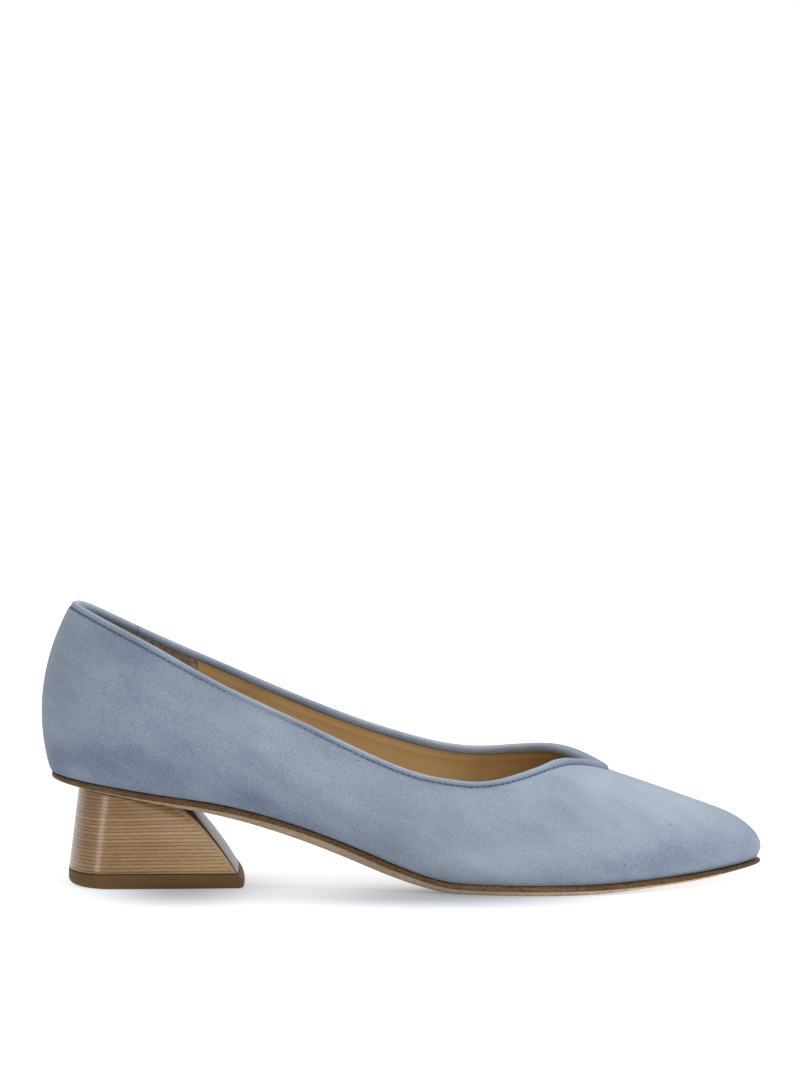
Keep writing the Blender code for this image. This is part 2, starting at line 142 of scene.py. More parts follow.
# Soft steps along the sole, as start, run and size: height of its band, the bevel lighter from the waist
# forward and the edge darker at the toe
FRONT_BAND = (60.0, 40.0, -0.45)
LIGHTER_BEVEL_FORWARD = (110.0, 40.0, -1.0)
DARKER_TOE_EDGE = (215.0, 25.0, 0.4)

# Soft bells along the sole, as middle, width and size: height of its band, painted light on its edge and
# bevel at the ball, depth of its underside
WAIST_BAND = (114.0, 14.0, 0.3)
BALL_LIGHT = (158.0, 24.0, -1.5)
WAIST_FULL = (114.0, 14.0, 0.35)
TOE_FULL = (226.0, 12.0, 0.4)

# Painted shade on the sole's rings, from the foot of the bevel to the top: darker at the top, under the upper
RING_SHADE = (0.0, 0.0, 0.0, 0.0, 0.0, 0.2, 0.75, 0.75)

# Insole
INSOLE_THICKNESS = 2.0
INSOLE_ROUND = 0.5
INSOLE_ROUND_SHARES = (0.35, 0.7, 1.0)
INSOLE_RUNGS = 18

# Heel block and top-lift
LIFT_HEIGHT = 5.0
HEEL_COLUMNS = ("back", "front", "half_width", "front_half_width", "corner_radius")
HEEL_BASE = (9.3, 68.1, 24.4, 22.2, 0.8)
HEEL_SEAT = (12.9, 51.1, 22.2, 17.7, 2.4)
CORNER_OPENING = 6.0
CORNER_OPENING_POWER = 8
BREAST_BULGE = 1.6
BREAST_SKEW = 0.074
BREAST_CURVE = 0.00185
BACK_ROUND = 15.0
BACK_STEPS = 26
SIDE_STEPS = 21
CORNER_STEPS = 9
FRONT_STEPS = 10
RIM_STEPS = 3
# Width of the light line where the sides meet the breast: partly bare wood, partly a painted highlight
LIGHT_LINE_WIDTH = 0.45
HEEL_RINGS = 41
LIFT_GROW = 0.2
LIFT_RINGS = (
    ("top", LIFT_HEIGHT, 0.1, 0.1),
    ("shoulder", 4.4, 0.15, 0.5),
    ("middle", 2.7, 0.2, 1.7),
    ("lower side", 1.5, 0.15, 2.0),
    ("upper round", 0.9, -0.02, 2.2),
    ("middle round", 0.45, -0.35, 2.2),
    ("lower round", 0.15, -0.8, 2.0),
    ("floor", 0.0, -1.4, 1.7),
)

# The last's frame in the row's: the lift's back and the heel's axis are known in both
lift_low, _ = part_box("top_lift")
heel_low, heel_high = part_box("heel_block")
SHIFT = np.array([
    lift_low.x - (HEEL_BASE[0] - LIFT_GROW) * MM,
    (heel_low.y + heel_high.y) / 2,
    0.0,
])

# Fine detail of the upper
RIBS = 12
RIB_ROWS = 44
COLLAR_SAMPLES = 400
BATCH = 2000
GROOVE_DEPTH = 0.55
GROOVE_WIDTH = 0.75
# Painted shade in the groove under the binding, and its width
SEAM_SHADE = 0.6
SEAM_SHADE_WIDTH = 0.5
FAINT_SEAM = (75.0, 25.0, 0.85)
TUCK_DEPTH = 0.5
TUCK_WIDTH = 0.8
HEM_DROP = 0.2
HEM_WIDTH = 0.5
# Painted shade along the hem, where the upper meets the sole, and its width
HEM_SHADE = 0.2
HEM_SHADE_WIDTH = 1.9
RIDGE_BELOW_TOP = 3.4
RIDGE_WIDTH = 0.7
RIDGE_HEIGHT = 0.3

# Painted shade on the lining: how dark it is at the heel, two soft steps as start, run and size, and a
# lighter place as middle, width and size
HEEL_SHADE = 0.8
HEEL_SHADE_END = (40.0, 12.0, -0.8)
VAMP_SHADE = (140.0, 45.0, 0.75)
LINING_LIGHT_PLACE = (128.0, 16.0, -0.3)

# Rise of the outer collar over the solid's: all along, more before the ball (middle, width, size), and the
# section numbers over which it comes in at the back and goes at the front
TRIM = 0.22
TRIM_BALL = (141.7, 9.0, 0.5)
TRIM_BACK = 2.0
TRIM_FRONT = 1.5

# Collar binding: its section as (way up from the groove, height over the upper's outer face). What lies over
# FACE_LEVEL is rounded at the end and flattened at the back, and what lies under INNER_FACE is the inner leg
BINDING_RINGS = 68
BINDING_SECTION = (
    (-0.25, -0.6), (-0.02, -0.15), (0.2, 0.22), (0.6, 0.5), (1.05, 0.55), (1.5, 0.4),
    (1.85, 0.05), (2.05, -0.45), (2.1, -0.95), (2.02, -1.45), (1.75, -1.92), (1.3, -2.25),
    (0.6, -2.4), (-0.2, -2.42), (-0.9, -2.36), (-1.25, -2.2), (-1.25, -1.85), (-0.8, -1.4),
)
FACE_LEVEL = -0.5
INNER_FACE = -1.0
INNER_LEG = (0.25, 0.6)
LEG_START = 3
LEG_RUN = 4
BACK_FLAT = 0.45
BACK_SET_IN = 0.35
BACK_SECTIONS = 1.3
THROAT_SWELL = 1.5
SWELL_START = 8
LAP = {LATERAL: 0.3, MEDIAL: 0.0}
LAP_STEPS = 9
LAP_RISE = 0.3
LAP_SECTIONS = 1.2
END_ROUND = 2.6

# Height of the outer binding: slimmer along the side, with a crest before the throat; both reach over section
# numbers, as start, run up, end, run down
OUTER_SLIM = 0.22
SLIM_REACH = (3, 1.2, 7, 1.0)
LOBE_CREST = 0.95
CREST_REACH = (8, 1.0, 9, 0.5)

# Tone of the binding: painted light on top, painted shade below it and on the inner face, and painted light
# growing toward the front, with a faint mottle and a dark join
TOP_LIGHT = 1.3
TOP_LIGHT_LOW = -0.3
TOP_LIGHT_LEVEL = 0.45
INNER_TONE = -0.35
INNER_LIGHT_FORWARD = (60.0, 80.0, 0.85)
OUTER_TONE = -0.2
OUTER_LIGHT_FORWARD = (60.0, 90.0, 0.5)
MOTTLE = 0.4
MOTTLE_RUN = 9.0
MOTTLE_RISE = 5.0
JOIN = (31.6, 0.35, 0.4)

# Stitches under the binding: short blunt threads that bow and drift a little
STITCH_PITCH = 2.15
STITCH_LENGTH = 1.5
STITCH_RADIUS = 0.19
STITCH_DEPTH = 0.22
STITCH_BOW = 0.24
STITCH_BELOW = 0.3
STITCH_DRIFT = ((0.06, 2.3), (0.04, 5.1))
STITCH_END_GAP = 1.5
STITCH_SAMPLES = 4001
THREAD_SIDES = 8
THREAD_RINGS = 7
THREAD_BLUNT = 3
THREAD_END = 0.02

# Heel grip: lining of the heel, from the back to its upright front edge; foot and top as shares of the rib
GRIP_FRONT = 52.0
GRIP_LIFT = 0.4
GRIP_EDGE = (0.32, -0.05)
GRIP_FOOT = 0.04
GRIP_TOP = 0.997
GRIP_ROWS = 30
GRIP_RIBS = 60
GRIP_SECTIONS = 6.0

# Patches of tone on the outer side: x, height, half-length, half-width, tilt in degrees, tone (darker below
# 0).
# The spots and the quarter's bands are brushed patches of the nap; the other rows are painted light and
# shade:
# darker over the back half, low near the sole, under the collar at the back and at the toe's nose, lighter on
# tops, the vamp's ridge and the joint.
SUEDE_PATCHES = (
    ("back half", 30, 60, 80, 60, 0, -0.55),
    ("under the collar at the back", 24, 85, 16, 5, -27, -0.42),
    ("back top light", 13.5, 91.5, 7, 4, -30, 0.8),
    ("back low", 5, 41, 6, 9, 0, -0.85),
    ("counter light", 45, 72, 10, 6, -20, 0.3),
    ("counter low", 22, 45, 14, 6, -8, -0.75),
    ("counter middle", 14, 61, 6, 8, 0, 0.2),
    ("quarter band back", 52, 59, 16, 6, -22, 0.3),
    ("quarter band front", 80, 52, 18, 6, -32, 0.4),
    ("counter front low", 48, 39, 12, 6, -10, -0.5),
    ("quarter under the collar", 62, 66, 8, 3, -30, 0.3),
    ("joint under the collar", 142, 33, 12, 4, -10, 0.25),
    ("waist spot", 73, 32, 8, 3.5, -12, -0.7),
    ("waist low", 92, 23.5, 22, 4, -22, -0.5),
    ("waist light", 103, 38, 14, 7, -30, 0.4),
    ("arch shade", 116, 19, 14, 4, -25, -0.3),
    ("joint light", 150, 22, 14, 8, 0, 0.2),
    ("vamp spot", 182, 27, 8, 4.5, 15, -0.15),
    ("vamp light", 190, 35, 9, 5, -20, 0.4),
    ("ball light", 154, 11, 22, 6, 0, 0.75),
    ("toe shade", 222, 14, 22, 6, 5, -0.36),
    ("toe low", 206, 9.5, 30, 4.5, 4, -0.45),
    ("toe light", 215, 26, 12, 5, -25, 0.35),
    ("vamp ridge", 213, 31, 22, 4.5, -19, 0.4),
    ("toe nose", 246, 13, 6, 9, 0, -0.25),
)
MEDIAL_PATCH_SHIFT = 17.0
MEDIAL_PATCH_SHARE = 0.7
PATCH_BLEND = 9.0

# Soft folds of the outer side: x and height of both ends, half-width, height (troughs below
# 0). They fade toward the collar and the sole
FOLD_FADE_TOP = 4.0
FOLD_FADE_FOOT = 6.0
FOLDS = (
    ("quarter ridge", 36, 62, 96, 43, 3.4, 0.22),
    ("trough over it", 44, 66, 92, 48, 2.6, -0.2),
    ("trough under the collar", 20, 84, 58, 68, 3.2, -0.22),
    ("dent at the waist", 64, 36, 78, 33, 4.0, -0.2),
    ("flexing trough", 176, 30, 188, 26, 3.0, -0.16),
    ("flexing ridge", 182, 37, 196, 32, 3.2, 0.14),
    ("counter edge", 60, 66, 68, 40, 2.2, 0.1),
)

# Small dark marks in the nap of the outer side: x, height, radius, depth of tone
MARKS = (
    ("toe", 217.1, 22.0, 0.75, 0.4),
    ("toe front", 230.9, 23.2, 0.7, 0.22),
    ("toe low", 220.3, 9.0, 0.6, 0.18),
    ("ball", 200.5, 9.9, 0.75, 0.35),
    ("under the collar", 110.4, 44.9, 0.6, 0.45),
)

# Stack of the heel, in metres: pitch of the layers and half-width of their lines as a share of it, painted
# light growing from the back to the front, and a painted shadow under the sole at the top of the back
LAYER_PITCH = 1.22 * MM
LAYER_LINE = 0.304
STACK_LIGHT_FORWARD = (-0.1, -0.06, -0.07, 0.18)
STACK_TOP_SHADE = 0.16
STACK_TOP_BAND = (0.023, 0.031)
STACK_TOP_REACH = (-0.092, -0.084)

# Sky: strength before and behind the shoe, and the slopes of view between which one passes into the other
SKY = (0.36, 1.15)
SKY_BAND = (0.55, 0.95)

# Floor, in metres: its glow, painted light with no lamp behind it, more of it far away, and painted shadows
# where the shoe rests, each as x, y, length, width, share
FLOOR_SIZE = 8.0
FLOOR_MIDDLE_Y = 2.0
FLOOR_GLOW = 0.82
FAR_GLOW = 0.3
FAR_GLOW_REACH = (0.3, 1.0)
FLOOR_SHADOWS = ((-0.075, -0.03, 0.028, 0.034, 0.82), (0.016, -0.042, 0.058, 0.026, 0.95))

# Soft boxes: place, target, width, height (metres) and power
LAMPS = (
    ("top_box", (0.4, 0.0, 0.85), (0.03, 0.0, 0.03), 0.9, 0.9, 7.2),
    ("front_box", (0.25, -0.6, 0.28), (0.03, 0.0, 0.03), 0.5, 0.3, 1.0),
    ("strip", (-0.284, -0.193, 0.15), (-0.1, -0.01, 0.15), 0.09, 0.3, 0.5),
)

# Camera, as the photograph was taken: distance from the shoe's middle plane, height and place along the shoe,
# pitch in degrees, focal length and height of the frame in pixels
CAMERA_DISTANCE = 1100.0
CAMERA_HEIGHT = 166.0
CAMERA_X = 124.47
CAMERA_PITCH = 2.347
FOCAL_PIXELS = 3169.0
FRAME_HEIGHT = 1066.0
SENSOR = 36.0


def cubic_through(knots, values):
    """A natural cubic spline: returns the function that gives the value at any place along the knots."""
    knots = np.asarray(knots, float)
    values = np.asarray(values, float)
    steps = np.diff(knots)
    count = len(knots)
    system = np.eye(count)
    bend = np.zeros_like(values)
    for i in range(1, count - 1):
        before, after = steps[i - 1], steps[i]
        system[i, i - 1 : i + 2] = before, 2 * (before + after), after
        bend[i] = 6 * ((values[i + 1] - values[i]) / after - (values[i] - values[i - 1]) / before)
    bend = np.linalg.solve(system, bend)

    def at(place):
        place = np.asarray(place, float)
        i = np.clip(np.searchsorted(knots, place, side="right") - 1, 0, count - 2)
        step = steps[i]
        near = (knots[i + 1] - place) / step
        far = 1 - near
        if values.ndim > 1:
            step, near, far = step[..., None], near[..., None], far[..., None]
        curve = (near**3 - near) * bend[i] + (far**3 - far) * bend[i + 1]
        return near * values[i] + far * values[i + 1] + curve * step**2 / 6

    return at


def smooth_step(share):
    share = np.clip(share, 0.0, 1.0)
    return share * share * (3 - 2 * share)


def bell(offset, width):
    """1 at no offset, falling softly to 0 on both sides."""
    return np.exp(-((offset / width) ** 2))


def swell(x, row):
    """A soft bell along the shoe, from a row of its middle, width and size."""
    middle, width, size = row
    return size * bell(x - middle, width)


def step_up(x, row):
    """A soft step along the shoe, from a row of its start, run and size."""
    start, run, size = row
    return size * smooth_step((x - start) / run)


def unit(vectors):
    return vectors / np.linalg.norm(vectors, axis=-1, keepdims=True)


def distances_along(points):
    """How far along its line each point lies, for one line of points or a grid of lines."""
    steps = np.linalg.norm(np.diff(points, axis=-2), axis=-1)
    return np.concatenate([np.zeros_like(steps[..., :1]), np.cumsum(steps, axis=-1)], axis=-1)


def curve_through(points):
    """A smooth curve through points, and each point's place along it."""
    knots = distances_along(points)
    return cubic_through(knots, points), knots


def by_section(curve, knots, first=0):
    """The curve as a function of the section number, where knots holds each section's place."""
    place = cubic_through(np.arange(first, first + len(knots)), knots)
    return lambda u: curve(place(u))


def sole_bottom(x):
    """Height of the sole's underside: a cubic between the rows of PROFILE."""
    x = np.asarray(x, float)
    rows = np.array([row[1:] for row in PROFILE], float)
    places = rows[:, 0] * LENGTH / 100
    i = np.clip(np.searchsorted(places, x, side="right") - 1, 0, len(rows) - 2)
    run = places[i + 1] - places[i]
    s = np.clip((x - places[i]) / run, 0.0, 1.0)
    start, end = rows[i], rows[i + 1]
    height = start[..., 1] * (2 * s**3 - 3 * s**2 + 1) + end[..., 1] * (3 * s**2 - 2 * s**3)
    return height + run * (start[..., 2] * (s**3 - 2 * s**2 + s) + end[..., 2] * (s**3 - s**2))


sole_thickness = cubic_through(
    [row[1] * LENGTH / 100 for row in SOLE_THICKNESS], [row[2] for row in SOLE_THICKNESS]
)


def feather_height(x):
    """Height of the sole's upper edge."""
    return sole_bottom(x) + sole_thickness(x)


def section_sizes():
    """The section table in millimetres and degrees, one array a column."""
    table = np.array([row[1:] for row in SECTIONS], float)
    sizes = dict(zip(SECTION_COLUMNS, table.T))
    for name in sizes:
        if name.endswith("_x"):
            sizes[name] = sizes[name] * LENGTH / 100
        elif name.startswith("rise"):
            sizes[name] = sizes[name] * BACK_HEIGHT / 100
        elif name.startswith(("feather", "top")):
            sizes[name] = sizes[name] * BALL_WIDTH / 100
    return sizes


SIZES = section_sizes()


def feather_rows(side):
    x = SIZES["feather_x"]
    y = side * SIZES["feather_" + SIDE_NAMES[side]]
    return np.column_stack([x, y, feather_height(x) + SEAM_GAP])


def top_rows(side):
    x = SIZES["top_x"]
    y = side * SIZES["top_" + SIDE_NAMES[side]]
    return np.column_stack([x, y, feather_height(x) + SIZES["rise_" + SIDE_NAMES[side]]])


def feather_curves():
    """The feather line of each side as a function of the section number, from one closed loop in plan."""
    lateral = feather_rows(LATERAL)[:, :2]
    medial = feather_rows(MEDIAL)[:, :2]
    loop = np.vstack([lateral, medial[-2:0:-1]])
    padded = np.vstack([loop[-LOOP_PAD:], loop, loop[: LOOP_PAD + 1]])
    plan, knots = curve_through(padded)
    tip = LOOP_PAD + LAST

    def curve(place):
        point = plan(place)
        height = feather_height(point[..., 0]) + SEAM_GAP
        return np.concatenate([point, height[..., None]], axis=-1)

    return {
        LATERAL: by_section(curve, knots[LOOP_PAD : tip + 1]),
        MEDIAL: by_section(curve, knots[tip : tip + LAST + 1][::-1]),
    }


def collar_curves():
    """The collar edge of each side as a function of the section number, from the back to the throat point."""
    lateral = top_rows(LATERAL)[: THROAT + 1]
    medial = top_rows(MEDIAL)[: THROAT + 1]
    curve, knots = curve_through(np.vstack([lateral[::-1], medial[1:]]))
    outer_edge = by_section(curve, knots[THROAT::-1])

    def trimmed(u):
        point = np.array(outer_edge(u))
        rise = TRIM + swell(point[..., 0], TRIM_BALL)
        point[..., 2] += rise * smooth_step(u / TRIM_BACK) * smooth_step((THROAT - u) / TRIM_FRONT)
        return point

    return {LATERAL: trimmed, MEDIAL: by_section(curve, knots[THROAT:])}


def ridge_curve():
    """The vamp ridge from the throat point to the nose of the toe."""
    points = np.vstack([top_rows(MEDIAL)[THROAT:], feather_rows(MEDIAL)[-1:]])
    curve, knots = curve_through(points)
    return by_section(curve, knots[:-1], THROAT)


FEATHER = feather_curves()
COLLAR = collar_curves()
RIDGE = ridge_curve()
LEANS = {
    name: cubic_through(np.arange(LAST + 1), np.radians(SIZES[name]))
    for name in ("flare_lateral", "flare_medial", "tuck")
}


def plan_outward(curve, u, side):
    """Unit vectors in plan that point away from the foot, square to a curve that runs forward."""
    low = np.clip(u - NUDGE, 0, LAST)
    high = np.clip(u + NUDGE, 0, LAST)
    along = (curve(high) - curve(low))[..., :2]
    across = unit(np.stack([-side * along[..., 1], side * along[..., 0]], axis=-1))
    return np.concatenate([across, np.zeros_like(across[..., :1])], axis=-1)


def top_point(u, side):
    u = np.asarray(u, float)
    collar = COLLAR[side](np.minimum(u, THROAT))
    ridge = RIDGE(np.maximum(u, THROAT))
    return np.where((u < THROAT)[..., None], collar, ridge)


def wall_point(u, v, side):
    """The upper's outer face at section number u and share v of the rib's height: a cubic rib."""
    u = np.asarray(u, float)
    v = np.asarray(v, float)[..., None]
    foot = FEATHER[side](u)
    top = top_point(u, side)
    flare = LEANS["flare_" + SIDE_NAMES[side]](u)
    tuck = np.minimum(LEANS["tuck"](u), math.pi / 2)
    tuck = np.where(u >= THROAT, math.pi / 2, tuck)
    out_foot = plan_outward(FEATHER[side], u, side)
    square = smooth_step((u - SQUARE_START) / (THROAT - SQUARE_START))[..., None]
    out_top = unit(out_foot * (1 - square) + np.array([0.0, side, 0.0]) * square)
    height = top[..., 2] - foot[..., 2]
    width = np.maximum(((foot - top) * out_top).sum(axis=-1), 0.0)
    dome = np.sin(tuck) ** 2
    reach = BACK_REACH + (SIDE_REACH - BACK_REACH) * smooth_step(u / BACK_REACH_END)
    reach = reach + (DOME_REACH - reach) * dome
    up = np.array([0.0, 0.0, 1.0])
    low = foot + (reach * height)[..., None] * (up + np.tan(flare)[..., None] * out_foot)
    spread = reach * np.sin(tuck) * (height * (1 - dome) + width * dome)
    high = top + spread[..., None] * out_top - (reach * np.cos(tuck) * height)[..., None] * up
    near = 1 - v
    return near**3 * foot + 3 * near**2 * v * low + 3 * near * v**2 * high + v**3 * top


def wall_normal(u, v, side):
    """Unit vectors out of the upper's outer face."""
    before, after = np.clip(u - NUDGE, 0, LAST), np.clip(u + NUDGE, 0, LAST)
    below, above = np.clip(v - NUDGE, 0, 1), np.clip(v + NUDGE, 0, 1)
    along = wall_point(after, v, side) - wall_point(before, v, side)
    rise = wall_point(u, above, side) - wall_point(u, below, side)
    return unit(-side * np.cross(along, rise))


def quads(rows, columns, wrap=False):
    """Faces of a grid of points stored row by row."""
    i = np.arange(rows - 1)[:, None] * columns
    j = np.arange(columns if wrap else columns - 1)[None, :]
    k = (j + 1) % columns
    return np.stack([i + j, i + k, i + columns + k, i + columns + j], axis=-1).reshape(-1, 4)


def caps(rings):
    """Faces that close the first and last of a stack of loops."""
    count = len(rings[0])
    first = np.arange(count)
    return [first, first + (len(rings) - 1) * count]


def add_piece(name, points, faces, materials, marks=None, layers=None):
    """A smooth mesh from points in millimetres of the last. It rides on the shoe's one body."""
    mesh = bpy.data.meshes.new(name)
    mesh.from_pydata((np.asarray(points) * MM + SHIFT).tolist(), [], [list(map(int, f)) for f in faces])
    for material in materials:
        mesh.materials.append(material)
    if marks is not None:
        mesh.polygons.foreach_set("material_index", np.asarray(marks, np.int32))
    for key, values in (layers or {}).items():
        layer = mesh.attributes.new(key, "FLOAT", "POINT")
        layer.data.foreach_set("value", np.asarray(values, np.float32))
    bm = bmesh.new()
    bm.from_mesh(mesh)
    bmesh.ops.remove_doubles(bm, verts=bm.verts, dist=1e-7)
    bmesh.ops.recalc_face_normals(bm, faces=bm.faces)
    for face in bm.faces:
        face.smooth = True
    bm.to_mesh(mesh)
    bm.free()
    piece = bpy.data.objects.new(name, mesh)
    bpy.context.scene.collection.objects.link(piece)
    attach(piece, "root")
    return piece


class Look:
    """A material with a Principled shader and short ways to add nodes to it."""

    def __init__(self, name, **sockets):
        self.material = bpy.data.materials.new(name)
        self.material.use_nodes = True
        self.tree = self.material.node_tree
        self.shader = self.tree.nodes["Principled BSDF"]
        for socket, value in sockets.items():
            self.shader.inputs[socket.replace("_", " ")].default_value = value
        self.place = self.add("ShaderNodeTexCoord").outputs["Object"]

    def add(self, kind, settings=None, **inputs):
        """A node. Its inputs go by name, or by number as i0, i1 and so on."""
        node = self.tree.nodes.new(kind)
        for key, value in (settings or {}).items():
            setattr(node, key, value)
        for key, value in inputs.items():
            numbered = key[0] == "i" and key[1:].isdigit()
            socket = node.inputs[int(key[1:]) if numbered else key]
            if isinstance(value, bpy.types.NodeSocket):
                self.tree.links.new(value, socket)
            else:
                socket.default_value = value
        return node

    def math(self, operation, a, b=0.0, c=0.0):
        return self.add("ShaderNodeMath", {"operation": operation}, i0=a, i1=b, i2=c).outputs[0]

    def vector(self, operation, a, b=(0.0, 0.0, 0.0)):
        node = self.add("ShaderNodeVectorMath", {"operation": operation}, i0=a, i1=b)
        return node.outputs["Value" if operation in ("LENGTH", "DISTANCE", "DOT_PRODUCT") else "Vector"]

    def ranged(self, value, start, end, low=0.0, high=1.0, kind="LINEAR"):
        """The value's way from start to end, told as one from low to high."""
        settings = {"interpolation_type": kind}
        node = self.add("ShaderNodeMapRange", settings, Value=value, i1=start, i2=end, i3=low, i4=high)
        return node.outputs[0]

    def stretched(self, scale, turn=(0.0, 0.0, 0.0)):
        """The place on the piece, turned and stretched."""
        turned = self.add("ShaderNodeMapping", Vector=self.place, Rotation=turn)
        return self.add("ShaderNodeMapping", Vector=turned.outputs[0], Scale=scale).outputs[0]

    def noise(self, place, scale, detail=2.0, roughness=0.5, distortion=0.0):
        """Noise about 0, from about -0.5 to 0.5."""
        node = self.add(
            "ShaderNodeTexNoise", Vector=place, Scale=scale, Detail=detail, Roughness=roughness,
            Distortion=distortion,
        )
        return self.math("SUBTRACT", node.outputs["Fac"], 0.5)

    def total(self, *terms):
        """The sum of (value, weight) terms over 0.5."""
        result = 0.5
        for value, weight in terms:
            result = self.math("MULTIPLY_ADD", value, weight, result)
        return result

    def colour(self, value, *stops):
        """The base colour as a ramp over the value, each stop as (place, colour)."""
        node = self.add("ShaderNodeValToRGB", Fac=value)
        ramp = node.color_ramp
        while len(ramp.elements) < len(stops):
            ramp.elements.new(0.5)
        for element, (place, colour) in zip(ramp.elements, stops):
            element.position = place
            element.color = (*colour, 1.0)
        self.tree.links.new(node.outputs["Color"], self.shader.inputs["Base Color"])

    def tones(self, value, dark, middle, light):
        self.colour(value, (0.0, dark), (0.5, middle), (1.0, light))

    def roughness(self, value, low, high):
        self.tree.links.new(self.ranged(value, 0.0, 1.0, low, high), self.shader.inputs["Roughness"])

    def bump(self, *layers):
        """Bumps on top of each other, each as (height, strength, depth in metres)."""
        normal = None
        for height, strength, depth in layers:
            node = self.add("ShaderNodeBump", Height=height, Strength=strength, Distance=depth)
            if normal is not None:
                self.tree.links.new(normal, node.inputs["Normal"])
            normal = node.outputs["Normal"]
        self.tree.links.new(normal, self.shader.inputs["Normal"])


def attribute(look, name):
    """A value that the piece's points carry."""
    return look.add("ShaderNodeAttribute", {"attribute_name": name}).outputs["Fac"]


def small_marks(look):
    """Small dark marks in the suede of the outer side."""
    total = 0.0
    y = look.add("ShaderNodeSeparateXYZ", Vector=look.place).outputs["Y"]
    flat = look.vector("MULTIPLY", look.place, (1.0, 0.0, 1.0))
    for _, x, height, radius, depth in MARKS:
        away = look.vector("DISTANCE", flat, (x * MM + SHIFT[0], 0.0, height * MM))
        near = look.ranged(away, 0.0, radius * MM, depth, 0.0, "SMOOTHSTEP")
        total = look.math("ADD", near, total)
    return look.math("MULTIPLY", total, look.math("LESS_THAN", y, 0.0))


def suede(name, dark, middle, light, nap_and_lighting_weight=0.33):
    """Napped suede: brushed patches with painted light and shade, short upright fibres, a soft sheen."""
    look = Look(
        name, Roughness=0.95, Specular_IOR_Level=0.12, Sheen_Weight=0.25, Sheen_Roughness=0.5,
        Sheen_Tint=(0.95, 0.98, 1.0, 1.0),
    )
    clouds = look.noise(look.place, 42.0, 3.0, 0.55, 0.4)
    streaks = look.noise(look.stretched((60.0, 60.0, 190.0), (0.0, math.radians(-28), 0.0)), 1.0, 2.0)
    fibres = look.noise(look.stretched((3800.0, 3800.0, 1500.0), (0.0, math.radians(8), 0.0)), 1.0, 2.0, 0.6)
    grain = look.noise(look.place, 5000.0, 1.0)
    # Brushed nap with painted light and shade
    nap_and_lighting = attribute(look, "nap_and_lighting")
    # Painted shade in the groove and along the hem, and the binding's dark join
    marks = attribute(look, "shade_and_join")
    tone = look.total(
        (nap_and_lighting, nap_and_lighting_weight), (clouds, 0.31), (streaks, 0.28), (fibres, 0.95), (grain, 0.5), (marks, -0.9),
        (small_marks(look), -1.0),
    )
    look.tones(tone, dark, middle, light)
    look.bump((clouds, 0.25, 0.0012), (fibres, 0.5, 0.00022), (grain, 0.4, 0.00012))
    return look.material


def leather(name, dark, middle, light, roughness, pores=900.0, depth=0.00006, mottle=0.0):
    """Smooth leather: faint clouds, fine pores, a dull gloss."""
    look = Look(name, Specular_IOR_Level=0.35)
    clouds = look.noise(look.place, 60.0, 3.0, 0.55)
    cells = look.add("ShaderNodeTexVoronoi", Vector=look.place, Scale=pores).outputs["Distance"]
    fine = look.noise(look.place, 2600.0, 2.0)
    # Painted shade from the piece's layer: the lining darker deep inside the shoe
    shade = attribute(look, "shade")
    spots = look.noise(look.place, 520.0, 3.0, 0.65, 0.6)
    tone = look.total((clouds, 0.5), (fine, 0.35), (spots, mottle), (shade, -0.5))
    look.tones(tone, dark, middle, light)
    look.roughness(look.total((clouds, 0.6), (fine, 0.5)), roughness - 0.08, roughness + 0.1)
    look.bump((cells, 0.35, depth), (fine, 0.3, depth))
    return look.material


def edge_leather(name, dark, middle, light, roughness, speckle=0.8):
    """A cut leather edge: fibres that run along the sole."""
    look = Look(name, Specular_IOR_Level=0.08)
    fibres = look.noise(look.stretched((160.0, 160.0, 2600.0)), 1.0, 3.0, 0.6)
    clouds = look.noise(look.place, 110.0, 2.0)
    fine = look.noise(look.place, 2400.0, 2.0)
    # Painted shade under the upper and painted light at the ball, with the sole edge's own lighter and darker
    # places
    edge_shade_and_tone = look.math("MULTIPLY", attribute(look, "edge_shade_and_tone"), look.math("MULTIPLY_ADD", fine, 4.0, 1.0))
    tone = look.total((fibres, 0.9), (clouds, 0.4), (fine, speckle), (edge_shade_and_tone, -0.3))
    look.tones(tone, dark, middle, light)
    look.roughness(tone, roughness - 0.1, roughness + 0.1)
    look.bump((fibres, 0.4, 0.0001), (fine, 0.3, 0.00008))
    return look.material


